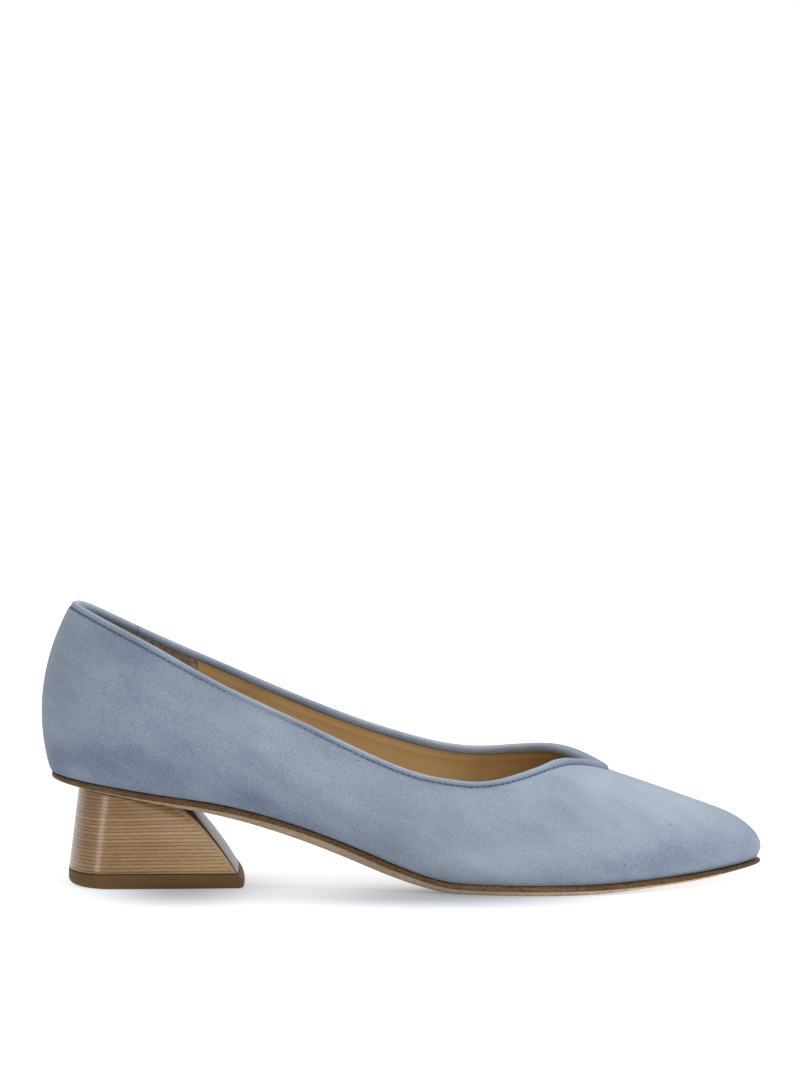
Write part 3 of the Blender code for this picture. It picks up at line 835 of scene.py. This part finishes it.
def stacked_layers():
    """Lacquered stack: thin horizontal layers, each of its own tone, with dark lines between them."""
    look = Look(
        "stacked_heel", Specular_IOR_Level=0.3, Coat_Weight=0.42, Coat_Roughness=0.14, Coat_IOR=1.45,
    )
    x, _, z = look.add("ShaderNodeSeparateXYZ", Vector=look.place).outputs
    waver = look.noise(look.stretched((45.0, 45.0, 90.0)), 1.0, 2.0)
    layer = look.math("ADD", look.math("DIVIDE", z, LAYER_PITCH), look.math("MULTIPLY", waver, 0.3))
    number = look.math("FLOOR", layer)
    inside = look.math("FRACT", layer)
    own = look.add("ShaderNodeTexWhiteNoise", {"noise_dimensions": "1D"}, W=number).outputs["Value"]
    own = look.math("SUBTRACT", own, 0.5)
    to_line = look.math("ABSOLUTE", look.math("SUBTRACT", inside, 0.5))
    line = look.ranged(to_line, 0.5 - LAYER_LINE, 0.5, kind="SMOOTHSTEP")
    fibres = look.noise(look.stretched((420.0, 420.0, 5200.0)), 1.0, 3.0, 0.6)
    clouds = look.noise(look.stretched((30.0, 30.0, 60.0)), 1.0, 2.0)
    # Painted light growing toward the front, and a painted shadow under the sole at the top of the back
    lit_forward = look.ranged(x, *STACK_LIGHT_FORWARD)
    upper = look.ranged(z, *STACK_TOP_BAND, 0.0, STACK_TOP_SHADE)
    behind = look.ranged(x, *STACK_TOP_REACH, 1.0, 0.0)
    shaded = look.math("MULTIPLY", upper, behind)
    dashes = look.noise(look.stretched((620.0, 620.0, 900.0)), 1.0, 2.0, 0.6)
    broken = look.math("MULTIPLY", line, look.math("MULTIPLY_ADD", dashes, 1.9, 0.85))
    halves = look.math("ABSOLUTE", look.math("SINE", look.math("MULTIPLY", layer, 2 * math.pi)))
    tone = look.total(
        (own, 0.16), (fibres, 0.7), (clouds, 0.4), (broken, -0.42), (halves, 0.06), (lit_forward, 1.0),
        (dashes, 0.15), (shaded, -1.0),
    )
    look.colour(
        tone, (0.0, (0.136, 0.065, 0.024)), (0.4, (0.27, 0.146, 0.058)), (0.6, (0.4, 0.236, 0.107)),
        (1.0, (0.55, 0.36, 0.188)),
    )
    look.roughness(tone, 0.5, 0.38)
    look.bump((line, 0.25, 0.00005))
    return look.material


def lacquer(name, dark, middle, light):
    """Brown lacquer over the heel's breast."""
    look = Look(
        name, Roughness=0.4, Specular_IOR_Level=0.1, Coat_Weight=0.3, Coat_Roughness=0.28, Coat_IOR=1.5,
    )
    clouds = look.noise(look.stretched((40.0, 40.0, 90.0)), 1.0, 3.0)
    fine = look.noise(look.place, 1500.0, 2.0)
    look.tones(look.total((clouds, 0.6), (fine, 0.3)), dark, middle, light)
    look.bump((clouds, 0.1, 0.0002))
    return look.material


def rubber():
    """Dense brown rubber with a fine speckle and a dusty lower edge."""
    look = Look("lift_rubber", Specular_IOR_Level=0.15)
    clouds = look.noise(look.place, 70.0, 3.0)
    fine = look.noise(look.place, 2200.0, 2.0)
    z = look.add("ShaderNodeSeparateXYZ", Vector=look.place).outputs["Z"]
    dust = look.ranged(z, 0.0, 0.0009, 1.0, 0.0)
    tone = look.total((clouds, 0.35), (fine, 0.3), (dust, 0.12))
    look.tones(tone, (0.1, 0.051, 0.02), (0.14, 0.073, 0.0285), (0.2, 0.118, 0.06))
    look.roughness(tone, 0.5, 0.72)
    look.bump((fine, 0.3, 0.00008))
    return look.material


def thread():
    """Dull blue thread with a twist."""
    look = Look("thread", Roughness=0.8, Sheen_Weight=0.2)
    twist = look.noise(look.stretched((3000.0, 3000.0, 900.0), (0.0, 0.6, 0.0)), 1.0, 1.0)
    tone = look.total((twist, 0.8))
    look.tones(tone, (0.045, 0.06, 0.095), (0.07, 0.09, 0.135), (0.11, 0.135, 0.185))
    look.bump((twist, 0.4, 0.0001))
    return look.material


def floor_look():
    """Pale floor with a glow of its own, painted light: less where the shoe rests, as painted shadows, and
    more far away.
    """
    look = Look("pale_floor", Specular_IOR_Level=0.1, Emission_Color=(0.965, 0.985, 1.0, 1.0))
    place = look.add("ShaderNodeNewGeometry").outputs["Position"]
    glow = FLOOR_GLOW
    # Painted contact shadows: the glow dims where the shoe rests
    for x, y, length, width, depth in FLOOR_SHADOWS:
        share = look.vector("DIVIDE", look.vector("SUBTRACT", place, (x, y, 0.0)), (length, width, 1.0))
        spread = look.vector("DOT_PRODUCT", share, share)
        shadow = look.math("MULTIPLY", look.math("EXPONENT", look.math("MULTIPLY", spread, -1.0)), -depth)
        glow = look.math("MULTIPLY", glow, look.math("ADD", shadow, 1.0))
    beyond = look.ranged(look.vector("LENGTH", place), *FAR_GLOW_REACH, 0.0, FAR_GLOW)
    look.tree.links.new(look.math("ADD", glow, beyond), look.shader.inputs["Emission Strength"])
    clouds = look.noise(look.place, 3.0, 2.0)
    look.colour(look.total((clouds, 0.2)), (0.0, (0.49, 0.5, 0.52)), (1.0, (0.53, 0.54, 0.56)))
    look.roughness(look.total((clouds, 0.4)), 0.8, 0.95)
    return look.material


SUEDE = suede("suede", (0.117, 0.149, 0.22), (0.288, 0.337, 0.413), (0.458, 0.519, 0.6))
BINDING_SUEDE = suede("suede_binding", (0.1, 0.14, 0.225), (0.257, 0.305, 0.387), (0.43, 0.488, 0.58))
LINING = leather("lining_leather", (0.31, 0.192, 0.077), (0.525, 0.348, 0.151), (0.645, 0.452, 0.224), 0.45)
GRIP = leather(
    "heel_grip", (0.11, 0.08, 0.05), (0.22, 0.178, 0.124), (0.32, 0.27, 0.2), 0.8,
    pores=500.0, depth=0.0002, mottle=2.2,
)
SOLE_EDGE = edge_leather(
    "sole_edge", (0.032, 0.023, 0.018), (0.122, 0.063, 0.025), (0.26, 0.152, 0.075), 0.5, speckle=1.9,
)
SOLE_BEVEL = edge_leather("sole_bevel", (0.24, 0.162, 0.1), (0.375, 0.275, 0.19), (0.6, 0.48, 0.36), 0.6)
SOLE_FACE = leather("sole_leather", (0.2, 0.13, 0.075), (0.33, 0.235, 0.15), (0.42, 0.32, 0.22), 0.55)
STACK = stacked_layers()
STACK_EDGE = edge_leather("heel_edge", (0.3, 0.21, 0.13), (0.42, 0.31, 0.2), (0.52, 0.4, 0.28), 0.4)
BREAST = lacquer("heel_lacquer", (0.05, 0.028, 0.014), (0.09, 0.052, 0.028), (0.13, 0.08, 0.045))
RUBBER = rubber()
THREAD = thread()


def rib_numbers(per_step, last=LAST):
    """Section numbers from the back to the last one, a few to each section."""
    return np.linspace(0.0, last, round(last * per_step) + 1)


def distance_to(points, line):
    """Least distance of each point to a line of points."""
    flat = points.reshape(-1, 3)
    nearest = np.full(len(flat), np.inf)
    for start in range(0, len(flat), BATCH):
        part = flat[start : start + BATCH, None] - line[None]
        nearest[start : start + BATCH] = np.sqrt((part**2).sum(axis=-1).min(axis=1))
    return nearest.reshape(points.shape[:-1])


def side_tone(points, side):
    """How light or dark one side's patches make the suede: brushed patches, and painted light and shade."""
    tone = np.zeros(points.shape[:-1])
    for _, x, height, length, width, tilt, weight in SUEDE_PATCHES:
        if side == MEDIAL:
            mirrored = LENGTH + MEDIAL_PATCH_SHIFT - x
            height = height + sole_bottom(mirrored) - sole_bottom(x)
            x = mirrored
            weight = MEDIAL_PATCH_SHARE * weight
        turn = math.radians(tilt)
        along = (points[..., 0] - x) * math.cos(turn) + (points[..., 2] - height) * math.sin(turn)
        across = (points[..., 2] - height) * math.cos(turn) - (points[..., 0] - x) * math.sin(turn)
        tone += weight * bell(along, length) * bell(across, width)
    return tone


def patch_tone(points):
    """The tone of both sides, one passing into the other over the back and the vamp's ridge."""
    share = smooth_step((points[..., 1] + PATCH_BLEND) / (2 * PATCH_BLEND))
    return side_tone(points, LATERAL) * (1 - share) + side_tone(points, MEDIAL) * share


def fold_height(points, side):
    """Soft ridges and troughs of the outer side, as heights over the last."""
    height = np.zeros(points.shape[:-1])
    if side == LATERAL:
        for _, x0, z0, x1, z1, width, rise in FOLDS:
            run = np.array([x1 - x0, z1 - z0], float)
            offset = points[..., [0, 2]] - (x0, z0)
            share = np.clip(offset @ run / (run @ run), 0.0, 1.0)
            away = np.linalg.norm(offset - share[..., None] * run, axis=-1)
            height += rise * bell(away, width)
    return height


def wall_grid(u, v, side):
    """Outer face and its normals, a row a rib. The first and last ribs are common to both sides."""
    uu, vv = np.meshgrid(u, v, indexing="ij")
    points = wall_point(uu, vv, side)
    normals = wall_normal(uu, vv, side)
    if side == MEDIAL:
        for end in (0, -1):
            points[end] = wall_point(uu[end], vv[end], LATERAL)
    normals[0, :, 1] = 0.0
    return points, unit(normals)


def lining_shade(x):
    """Painted shade on the lining: dark deep under the vamp and at the heel, lightest before the waist."""
    return HEEL_SHADE + step_up(x, HEEL_SHADE_END) + step_up(x, VAMP_SHADE) + swell(x, LINING_LIGHT_PLACE)


def make_upper():
    """The suede shell with its lining: outer face, inner face and the two cut edges."""
    u = rib_numbers(RIBS)
    v = (1 - np.cos(np.linspace(0, math.pi, RIB_ROWS + 1))) / 2
    width = len(v)
    size = len(u) * width
    grid = quads(len(u), width)
    collar_u = np.linspace(0, THROAT, COLLAR_SAMPLES)
    collar = np.vstack([COLLAR[side](collar_u) for side in (LATERAL, MEDIAL)])
    points, faces, marks, nap_and_lighting, shade_and_join, shade = [], [], [], [], [], []
    start = 0
    for side in (LATERAL, MEDIAL):
        outer, normal = wall_grid(u, v, side)
        to_collar = distance_to(outer, collar)
        up_rib = distances_along(outer)
        seam_depth = 1 - swell(outer[..., 0], FAINT_SEAM)
        fold = fold_height(outer, side) * smooth_step(to_collar / FOLD_FADE_TOP)
        sink = GROOVE_DEPTH * seam_depth * bell(to_collar, GROOVE_WIDTH)
        sink += TUCK_DEPTH * np.exp(-up_rib / TUCK_WIDTH)
        sink -= fold * smooth_step(up_rib / FOLD_FADE_FOOT)
        face = outer - sink[..., None] * normal
        face[..., 2] -= HEM_DROP * np.exp(-up_rib / HEM_WIDTH)
        ridge = RIDGE_HEIGHT * bell(to_collar - RIDGE_BELOW_TOP, RIDGE_WIDTH)
        inner = outer - (WALL + ridge)[..., None] * normal
        points += [face.reshape(-1, 3), inner.reshape(-1, 3)]
        faces += [grid + start, grid + start + size]
        marks += [np.zeros(len(grid)), np.ones(len(grid))]
        nap_and_lighting += [patch_tone(outer).ravel(), np.zeros(size)]
        # Painted shade in the groove under the binding and along the hem over the sole
        seam = SEAM_SHADE * seam_depth * bell(to_collar, SEAM_SHADE_WIDTH)
        painted_hem_shade = HEM_SHADE * np.exp(-up_rib / HEM_SHADE_WIDTH)
        shade_and_join += [np.maximum(seam, painted_hem_shade).ravel(), np.zeros(size)]
        shade += [np.zeros(size), lining_shade(outer[..., 0]).ravel()]
        for row, count in ((width - 1, int(np.searchsorted(u, THROAT)) + 1), (0, len(u))):
            edge = np.arange(count) * width + row + start
            rim = np.stack([edge[:-1], edge[1:], edge[1:] + size, edge[:-1] + size], axis=-1)
            faces.append(rim)
            marks.append(np.zeros(len(rim)))
        start += 2 * size
    upper = add_piece(
        "upper_suede", np.vstack(points), np.vstack(faces), [SUEDE, LINING], np.concatenate(marks),
        {"nap_and_lighting": np.concatenate(nap_and_lighting), "shade_and_join": np.concatenate(shade_and_join), "shade": np.concatenate(shade)},
    )
    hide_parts("upper")


def make_heel_grip():
    """The heel's own lining, a thin layer on the inside with an upright front edge."""
    v = np.linspace(GRIP_FOOT, GRIP_TOP, GRIP_ROWS)
    points, faces = [], []
    start = 0
    for side in (LATERAL, MEDIAL):
        u_all = rib_numbers(GRIP_RIBS, GRIP_SECTIONS)
        x = wall_point(u_all, np.full_like(u_all, 0.5), side)[:, 0]
        u_front = float(np.interp(GRIP_FRONT, x, u_all))
        u = np.linspace(0, u_front, GRIP_RIBS)
        outer, normal = wall_grid(u, v, side)
        if side == MEDIAL:
            outer[-1] = wall_point(np.full_like(v, u_front), v, side)
        outer[-2] = outer[-1]
        normal[-2] = normal[-1]
        lift = np.full((len(u), 1, 1), GRIP_LIFT)
        lift[-2:, 0, 0] = GRIP_EDGE
        inner = outer - (WALL + lift) * normal
        points.append(inner.reshape(-1, 3))
        faces.append(quads(len(u), len(v)) + start)
        start += len(u) * len(v)
    grip = add_piece("heel_grip", np.vstack(points), np.vstack(faces), [GRIP])


def collar_frames(u, side):
    """Place, direction, outward normal and way up of the collar's edge."""
    edge = COLLAR[side](u)
    along = unit(COLLAR[side](np.minimum(u + NUDGE, THROAT)) - COLLAR[side](np.maximum(u - NUDGE, 0)))
    normal = wall_normal(np.minimum(u, THROAT - NUDGE), np.ones_like(u), side)
    if u[0] == 0:
        along[0] = (0.0, side, 0.0)
        normal[0, 1] = 0.0
        normal = unit(normal)
    away = unit(side * np.cross(along, normal))
    return edge, along, normal, away


def between(u, reach):
    """1 over a stretch of section numbers, from a row of its start, run up, end and run down."""
    start, run_up, end, run_down = reach
    return smooth_step((u - start) / run_up) * (1 - smooth_step((u - end) / run_down))


def binding_side(side):
    """Rings of the rolled strip along one side. Its end is round, and the outer one laps over the other."""
    u = np.linspace(0, THROAT, THROAT * BINDING_RINGS + 1)
    edge, along, normal, away = collar_frames(u, side)
    lap = np.linspace(0, LAP[side], LAP_STEPS)[1:] if LAP[side] else np.zeros(0)
    edge = np.vstack([edge, edge[-1] + lap[:, None] * along[-1]])
    normal = np.vstack([normal, np.repeat(normal[-1:], len(lap), axis=0)])
    away = np.vstack([away, np.repeat(away[-1:], len(lap), axis=0)])
    u = np.concatenate([u, np.full(len(lap), float(THROAT))])
    run = distances_along(edge)
    near_end = np.clip(1 - (run[-1] - run) / END_ROUND, 0.0, 1.0)
    nose = np.sqrt(1 - near_end**2)[:, None]
    swollen = 1 + THROAT_SWELL * smooth_step((u - SWELL_START) / (THROAT - SWELL_START))
    at_back = bell(u, BACK_SECTIONS)[:, None]
    outer = float(side == LATERAL)
    way_up, way_out = np.array(BINDING_SECTION).T
    over = np.where(way_out > 0, way_out * swollen[:, None], way_out)
    flattened = (over - FACE_LEVEL) * nose * (1 - BACK_FLAT * at_back) + FACE_LEVEL
    rise = outer * LAP_RISE * smooth_step((u - THROAT) / LAP_SECTIONS + 1)[:, None]
    over = np.where(over > FACE_LEVEL, flattened, over) + rise * nose - BACK_SET_IN * at_back
    leg = INNER_LEG[0] + (INNER_LEG[1] - INNER_LEG[0]) * smooth_step((u - LEG_START) / LEG_RUN)
    below = way_up * np.where(way_out < INNER_FACE, leg[:, None], 1.0)
    crest = LOBE_CREST / max(way_up) * between(u, CREST_REACH)
    taller = 1 + outer * (crest - OUTER_SLIM * between(u, SLIM_REACH))
    up = np.where(way_up > 0, way_up * nose * taller[:, None], below)
    return edge[:, None] + up[..., None] * away[:, None] + over[..., None] * normal[:, None]


def make_binding():
    """The rolled strip round the collar."""
    rings = np.concatenate([binding_side(LATERAL)[::-1], binding_side(MEDIAL)[1:]])
    faces = list(quads(len(rings), len(BINDING_SECTION), wrap=True)) + caps(rings)
    points = rings.reshape(-1, 3)
    way_up, way_out = np.array(BINDING_SECTION).T
    x = rings[..., 0]
    inner = INNER_TONE + step_up(x, INNER_LIGHT_FORWARD)
    outer = OUTER_TONE + step_up(x, OUTER_LIGHT_FORWARD)
    # Painted light on the top of the roll, painted shade below it and on the inner face
    lit_and_shaded = TOP_LIGHT * (np.clip(way_up / max(way_up), TOP_LIGHT_LOW, 1.0) - TOP_LIGHT_LEVEL)
    lit_and_shaded = lit_and_shaded + np.where(way_out < INNER_FACE, inner, outer)
    mottle = MOTTLE * np.sin(points[:, 0] / MOTTLE_RUN) * np.cos(points[:, 2] / MOTTLE_RISE)
    join = np.where(points[:, 1] > 0, swell(points[:, 0], JOIN), 0.0)
    binding = add_piece("collar_binding", points, faces, [BINDING_SUEDE], layers={
        "nap_and_lighting": mottle + lit_and_shaded.ravel(),
        "shade_and_join": join,
    })
    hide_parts("topline_binding")


def make_stitches():
    """The seam under the binding: a row of short threads sunk in the groove."""
    turn = np.linspace(0, 2 * math.pi, THREAD_SIDES, endpoint=False)[None, :, None]
    shares = np.linspace(-1, 1, THREAD_RINGS)
    blunt = np.sqrt(np.maximum(1 - np.abs(shares) ** THREAD_BLUNT, 0.0))
    radius = STITCH_RADIUS * (blunt + THREAD_END)[:, None, None]
    depth = (STITCH_DEPTH + STITCH_BOW * shares**2)[:, None]
    grid = quads(THREAD_RINGS, THREAD_SIDES, wrap=True)
    points, faces = [], []
    for side in (LATERAL, MEDIAL):
        u = np.linspace(0, THROAT, STITCH_SAMPLES)
        run = distances_along(COLLAR[side](u))
        places = np.arange(STITCH_PITCH, run[-1] - STITCH_END_GAP, STITCH_PITCH)
        for number, place in enumerate(places):
            at = np.interp(place + shares * STITCH_LENGTH / 2, run, u)
            centre, _, normal, away = collar_frames(at, side)
            drift = sum(size * math.sin(rate * number) for size, rate in STITCH_DRIFT)
            line = centre - depth * normal + (drift - STITCH_BELOW) * away
            outward = np.cos(turn) * normal[:, None] + np.sin(turn) * away[:, None]
            faces.append(grid + len(points) * THREAD_RINGS * THREAD_SIDES)
            points.append((line[:, None] + radius * outward).reshape(-1, 3))
    stitches = add_piece("collar_stitches", np.vstack(points), np.vstack(faces), [THREAD])


def moved_outward(loop, amount):
    """A loop in plan, run from the back round the lateral side, moved square to itself at each point."""
    along = np.roll(loop, -1, axis=0) - np.roll(loop, 1, axis=0)
    out = unit(np.column_stack([along[:, 1], -along[:, 0], np.zeros(len(loop))]))
    return loop + out * np.asarray(amount)[..., None]


def outline(offset):
    """The feather line as one loop, moved outward in plan."""
    u = rib_numbers(SOLE_RIBS)
    loop = np.vstack([FEATHER[LATERAL](u), FEATHER[MEDIAL](u)[-2:0:-1]])
    return moved_outward(loop, offset)


def at_height(loop, height):
    """The loop laid at a height, or at one for each of its points."""
    return np.column_stack([loop[:, :2], height])


def edge_margin(x):
    """How far the sole's edge stands out past the feather line."""
    return HEEL_MARGIN + (TOE_MARGIN - HEEL_MARGIN) * smooth_step(x / LENGTH)


def rungs(loop, across, height):
    """Points and faces of a sheet inside a loop: straight rungs from the lateral to the medial side."""
    half = len(loop) // 2
    left = loop[: half + 1]
    right = np.vstack([loop[:1], loop[: half - 1 : -1]])
    share = np.linspace(0, 1, across)[None, :, None]
    sheet = left[:, None] * (1 - share) + right[:, None] * share
    sheet[..., 2] = height(sheet[..., 0])
    return sheet.reshape(-1, 3), quads(len(left), across)


def underside(x):
    """Height of the sole's underside, a little fuller at the waist and the toe than the solid's."""
    height = sole_bottom(x)
    for row in (WAIST_FULL, TOE_FULL):
        height = height - swell(x, row)
    return height


def make_outsole():
    """The thin sole: dressed upright edge, a small step, a natural bevel and the worn underside."""
    feather = outline(0.0)
    edge = moved_outward(feather, edge_margin(feather[:, 0]))
    x = edge[:, 0]
    top = feather_height(x)
    band = EDGE_BAND + step_up(x, FRONT_BAND) + swell(x, WAIST_BAND)
    band = np.minimum(band, sole_thickness(x) - EDGE_STEP_DROP - LEAST_BEVEL)
    bevel = top - underside(x) - band - EDGE_STEP_DROP
    inner = moved_outward(edge, -EDGE_STEP)
    foot = moved_outward(inner, -BEVEL_RUN * bevel)
    way_out, way_up = BEVEL_MIDDLE
    middle = moved_outward(foot, way_out * BEVEL_RUN * bevel)
    swollen = moved_outward(edge, EDGE_SWELL)
    inside = moved_outward(feather, -SOLE_TOP_INSET)
    rings = [
        at_height(foot, underside(foot[:, 0])),
        at_height(middle, underside(x) + way_up * bevel),
        at_height(inner, underside(x) + bevel),
        at_height(edge, top - band),
        at_height(swollen, top - SWELL_LOW * band),
        at_height(swollen, top - SWELL_HIGH * band),
        at_height(moved_outward(edge, -EDGE_SWELL), top),
        at_height(inside, feather_height(inside[:, 0])),
    ]
    count = len(x)
    under, under_faces = rungs(rings[0], UNDERSIDE_RUNGS, underside)
    points = np.vstack(rings + [under])
    faces = np.vstack([quads(len(rings), count, wrap=True), under_faces + len(rings) * count])
    materials = [SOLE_EDGE, SOLE_BEVEL, SOLE_FACE]
    edge_mark, bevel_mark, face_mark = range(len(materials))
    bands = [bevel_mark] * BEVEL_BANDS + [edge_mark] * (len(rings) - 1 - BEVEL_BANDS)
    marks = np.concatenate([np.repeat(bands, count), np.full(len(under_faces), face_mark)])
    # Painted shade at the top of the edge under the upper and painted light at the ball
    edge_shade_and_tone = np.repeat(RING_SHADE, count).reshape(-1, count) + swell(x, BALL_LIGHT)
    edge_shade_and_tone[: BEVEL_BANDS + 1] += step_up(x, LIGHTER_BEVEL_FORWARD)
    edge_shade_and_tone[BEVEL_BANDS + 1 :] += step_up(x, DARKER_TOE_EDGE)
    edge_shade_and_tone = np.concatenate([edge_shade_and_tone.ravel(), np.zeros(len(under))])
    sole = add_piece("leather_outsole", points, faces, materials, marks, {"edge_shade_and_tone": edge_shade_and_tone})
    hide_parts("outsole")


def make_insole():
    """The covered insole, a little rounded at its edge."""
    gap = WALL + SEAM_GAP
    low = outline(-gap)
    base = feather_height(low[:, 0]) + SEAM_GAP
    rings = [at_height(low, base), at_height(low, base + INSOLE_THICKNESS - INSOLE_ROUND)]
    for share in INSOLE_ROUND_SHARES:
        ring = outline(-gap - INSOLE_ROUND * share)
        rise = INSOLE_THICKNESS - INSOLE_ROUND * (1 - math.sqrt(1 - (1 - share) ** 2))
        rings.append(at_height(ring, feather_height(ring[:, 0]) + SEAM_GAP + rise))
    count = len(low)
    over_feather = SEAM_GAP + INSOLE_THICKNESS
    top, top_faces = rungs(rings[-1], INSOLE_RUNGS, lambda x: feather_height(x) + over_feather)
    points = np.vstack(rings + [top])
    faces = np.vstack([quads(len(rings), count, wrap=True), top_faces + len(rings) * count])
    insole = add_piece("covered_insole", points, faces, [LINING])
    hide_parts("insole")


def heel_plan(sizes, grow=0.0, forward=0.0):
    """A D-shaped loop and the material of each of its steps: layered side, light line or lacquered breast.

    The back is rounded, the sides narrow forward, and the front is skewed and hollow with rounded corners.
    """
    size = dict(zip(HEEL_COLUMNS, sizes))
    back = size["back"] - grow
    front = size["front"] + grow + forward
    half = size["half_width"] + grow
    front_half = size["front_half_width"] + grow
    radius = size["corner_radius"]
    turn = np.linspace(0, math.pi / 2, BACK_STEPS)
    rounded = np.column_stack([back + BACK_ROUND * (1 - np.cos(turn)), half * np.sin(turn)])
    lean = math.atan2(half - front_half, front - back - BACK_ROUND)
    bend = np.linspace(lean, math.pi / 2, CORNER_STEPS)
    corner = np.column_stack([
        front - radius + radius * np.sin(bend),
        front_half - radius + radius * np.cos(bend),
    ])
    rim = corner[0] - LIGHT_LINE_WIDTH * unit(corner[0] - rounded[-1])
    shares = np.linspace(0, 1, SIDE_STEPS + 1)[1:, None]
    side = rounded[-1] + shares * (rim - rounded[-1])
    inward = np.linspace(corner[-1, 1], 0.0, FRONT_STEPS + 1)[1:]
    across = np.column_stack([np.full(FRONT_STEPS, front), inward])
    half_loop = np.vstack([rounded, side, corner, across])
    # The light line: partly bare wood, partly a painted highlight along the edge
    light_line_steps = 1 + RIM_STEPS
    breast = len(corner) - RIM_STEPS + len(across) - 1
    zones = np.concatenate([np.zeros(len(rounded) + len(side) - 1), np.ones(light_line_steps), np.full(breast, 2)])
    loop = np.vstack([half_loop * (1, LATERAL), half_loop[-2:0:-1]])
    to_front = np.clip((loop[:, 0] - back - BACK_ROUND) / (front - back - BACK_ROUND), 0.0, 1.0)
    loop[:, 0] -= (BREAST_SKEW * loop[:, 1] + BREAST_CURVE * loop[:, 1] ** 2) * to_front
    return loop, np.concatenate([zones, zones[::-1]])


def make_heel():
    """The stacked block: layered sides, a lacquered breast and a light line where they meet, partly bare wood
    and partly a painted highlight.
    """
    rings = []
    for t in np.linspace(0, 1, HEEL_RINGS):
        sizes = [base + t * (seat - base) for base, seat in zip(HEEL_BASE, HEEL_SEAT)]
        sizes[-1] += CORNER_OPENING * t**CORNER_OPENING_POWER
        loop, zones = heel_plan(sizes, forward=BREAST_BULGE * 4 * t * (1 - t))
        low = LIFT_HEIGHT + SEAM_GAP
        high = sole_bottom(loop[:, 0]) - SEAM_GAP
        rings.append(at_height(loop, low + t * (high - low)))
    count = len(rings[0])
    faces = list(quads(len(rings), count, wrap=True)) + caps(rings)
    marks = np.concatenate([np.tile(zones, len(rings) - 1), [2, 2]])
    heel = add_piece("stacked_heel", np.vstack(rings), faces, [STACK, STACK_EDGE, BREAST], marks)
    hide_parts("heel_block")


def make_lift():
    """The rubber plate under the heel, its edges rounded."""
    rings = []
    for _, height, grow, forward in LIFT_RINGS:
        loop, _ = heel_plan(HEEL_BASE, grow, forward)
        rings.append(at_height(loop, np.full(len(loop), height)))
    faces = list(quads(len(rings), len(rings[0]), wrap=True)) + caps(rings)
    lift = add_piece("rubber_lift", np.vstack(rings), faces, [RUBBER])
    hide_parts("top_lift")


def make_stage():
    """Pale floor, soft light from above and the front, and the photograph's camera."""
    bpy.ops.mesh.primitive_plane_add(size=FLOOR_SIZE, location=(0.0, FLOOR_MIDDLE_Y, 0.0))
    floor = bpy.context.object
    floor.name = "floor"
    floor.data.materials.append(floor_look())
    world = bpy.data.worlds.new("studio")
    bpy.context.scene.world = world
    world.use_nodes = True
    tree = world.node_tree
    way = tree.nodes.new("ShaderNodeTexCoord")
    parts = tree.nodes.new("ShaderNodeSeparateXYZ")
    grade = tree.nodes.new("ShaderNodeMapRange")
    for socket, value in zip(grade.inputs[1:5], (*SKY_BAND, *SKY)):
        socket.default_value = value
    tree.links.new(way.outputs["Generated"], parts.inputs[0])
    tree.links.new(parts.outputs["Y"], grade.inputs["Value"])
    sky = tree.nodes["Background"]
    sky.inputs["Color"].default_value = (1.0, 1.0, 1.0, 1.0)
    seen = tree.nodes.new("ShaderNodeLightPath").outputs["Is Camera Ray"]
    strength = tree.nodes.new("ShaderNodeMath")
    strength.operation = "MAXIMUM"
    tree.links.new(grade.outputs[0], strength.inputs[0])
    tree.links.new(seen, strength.inputs[1])
    tree.links.new(strength.outputs[0], sky.inputs["Strength"])
    for name, place, target, width, height, power in LAMPS:
        data = bpy.data.lights.new(name, "AREA")
        data.shape = "RECTANGLE"
        data.size = width
        data.size_y = height
        data.energy = power
        lamp = bpy.data.objects.new(name, data)
        lamp.location = place
        lamp.rotation_euler = (Vector(target) - Vector(place)).to_track_quat("-Z", "Y").to_euler()
        lamp.visible_camera = False
        lamp.visible_diffuse = name != "strip"
        bpy.context.scene.collection.objects.link(lamp)
    data = bpy.data.cameras.new("camera")
    data.sensor_width = SENSOR
    data.lens = FOCAL_PIXELS / FRAME_HEIGHT * SENSOR
    camera = bpy.data.objects.new("camera", data)
    camera.location = np.array([CAMERA_X, -CAMERA_DISTANCE, CAMERA_HEIGHT]) * MM + SHIFT
    camera.rotation_euler = (math.radians(90 - CAMERA_PITCH), 0.0, 0.0)
    bpy.context.scene.collection.objects.link(camera)
    bpy.context.scene.camera = camera
    bpy.context.scene.view_settings.view_transform = "Standard"


make_upper()
make_heel_grip()
make_binding()
make_stitches()
make_outsole()
make_insole()
make_heel()
make_lift()
make_stage()
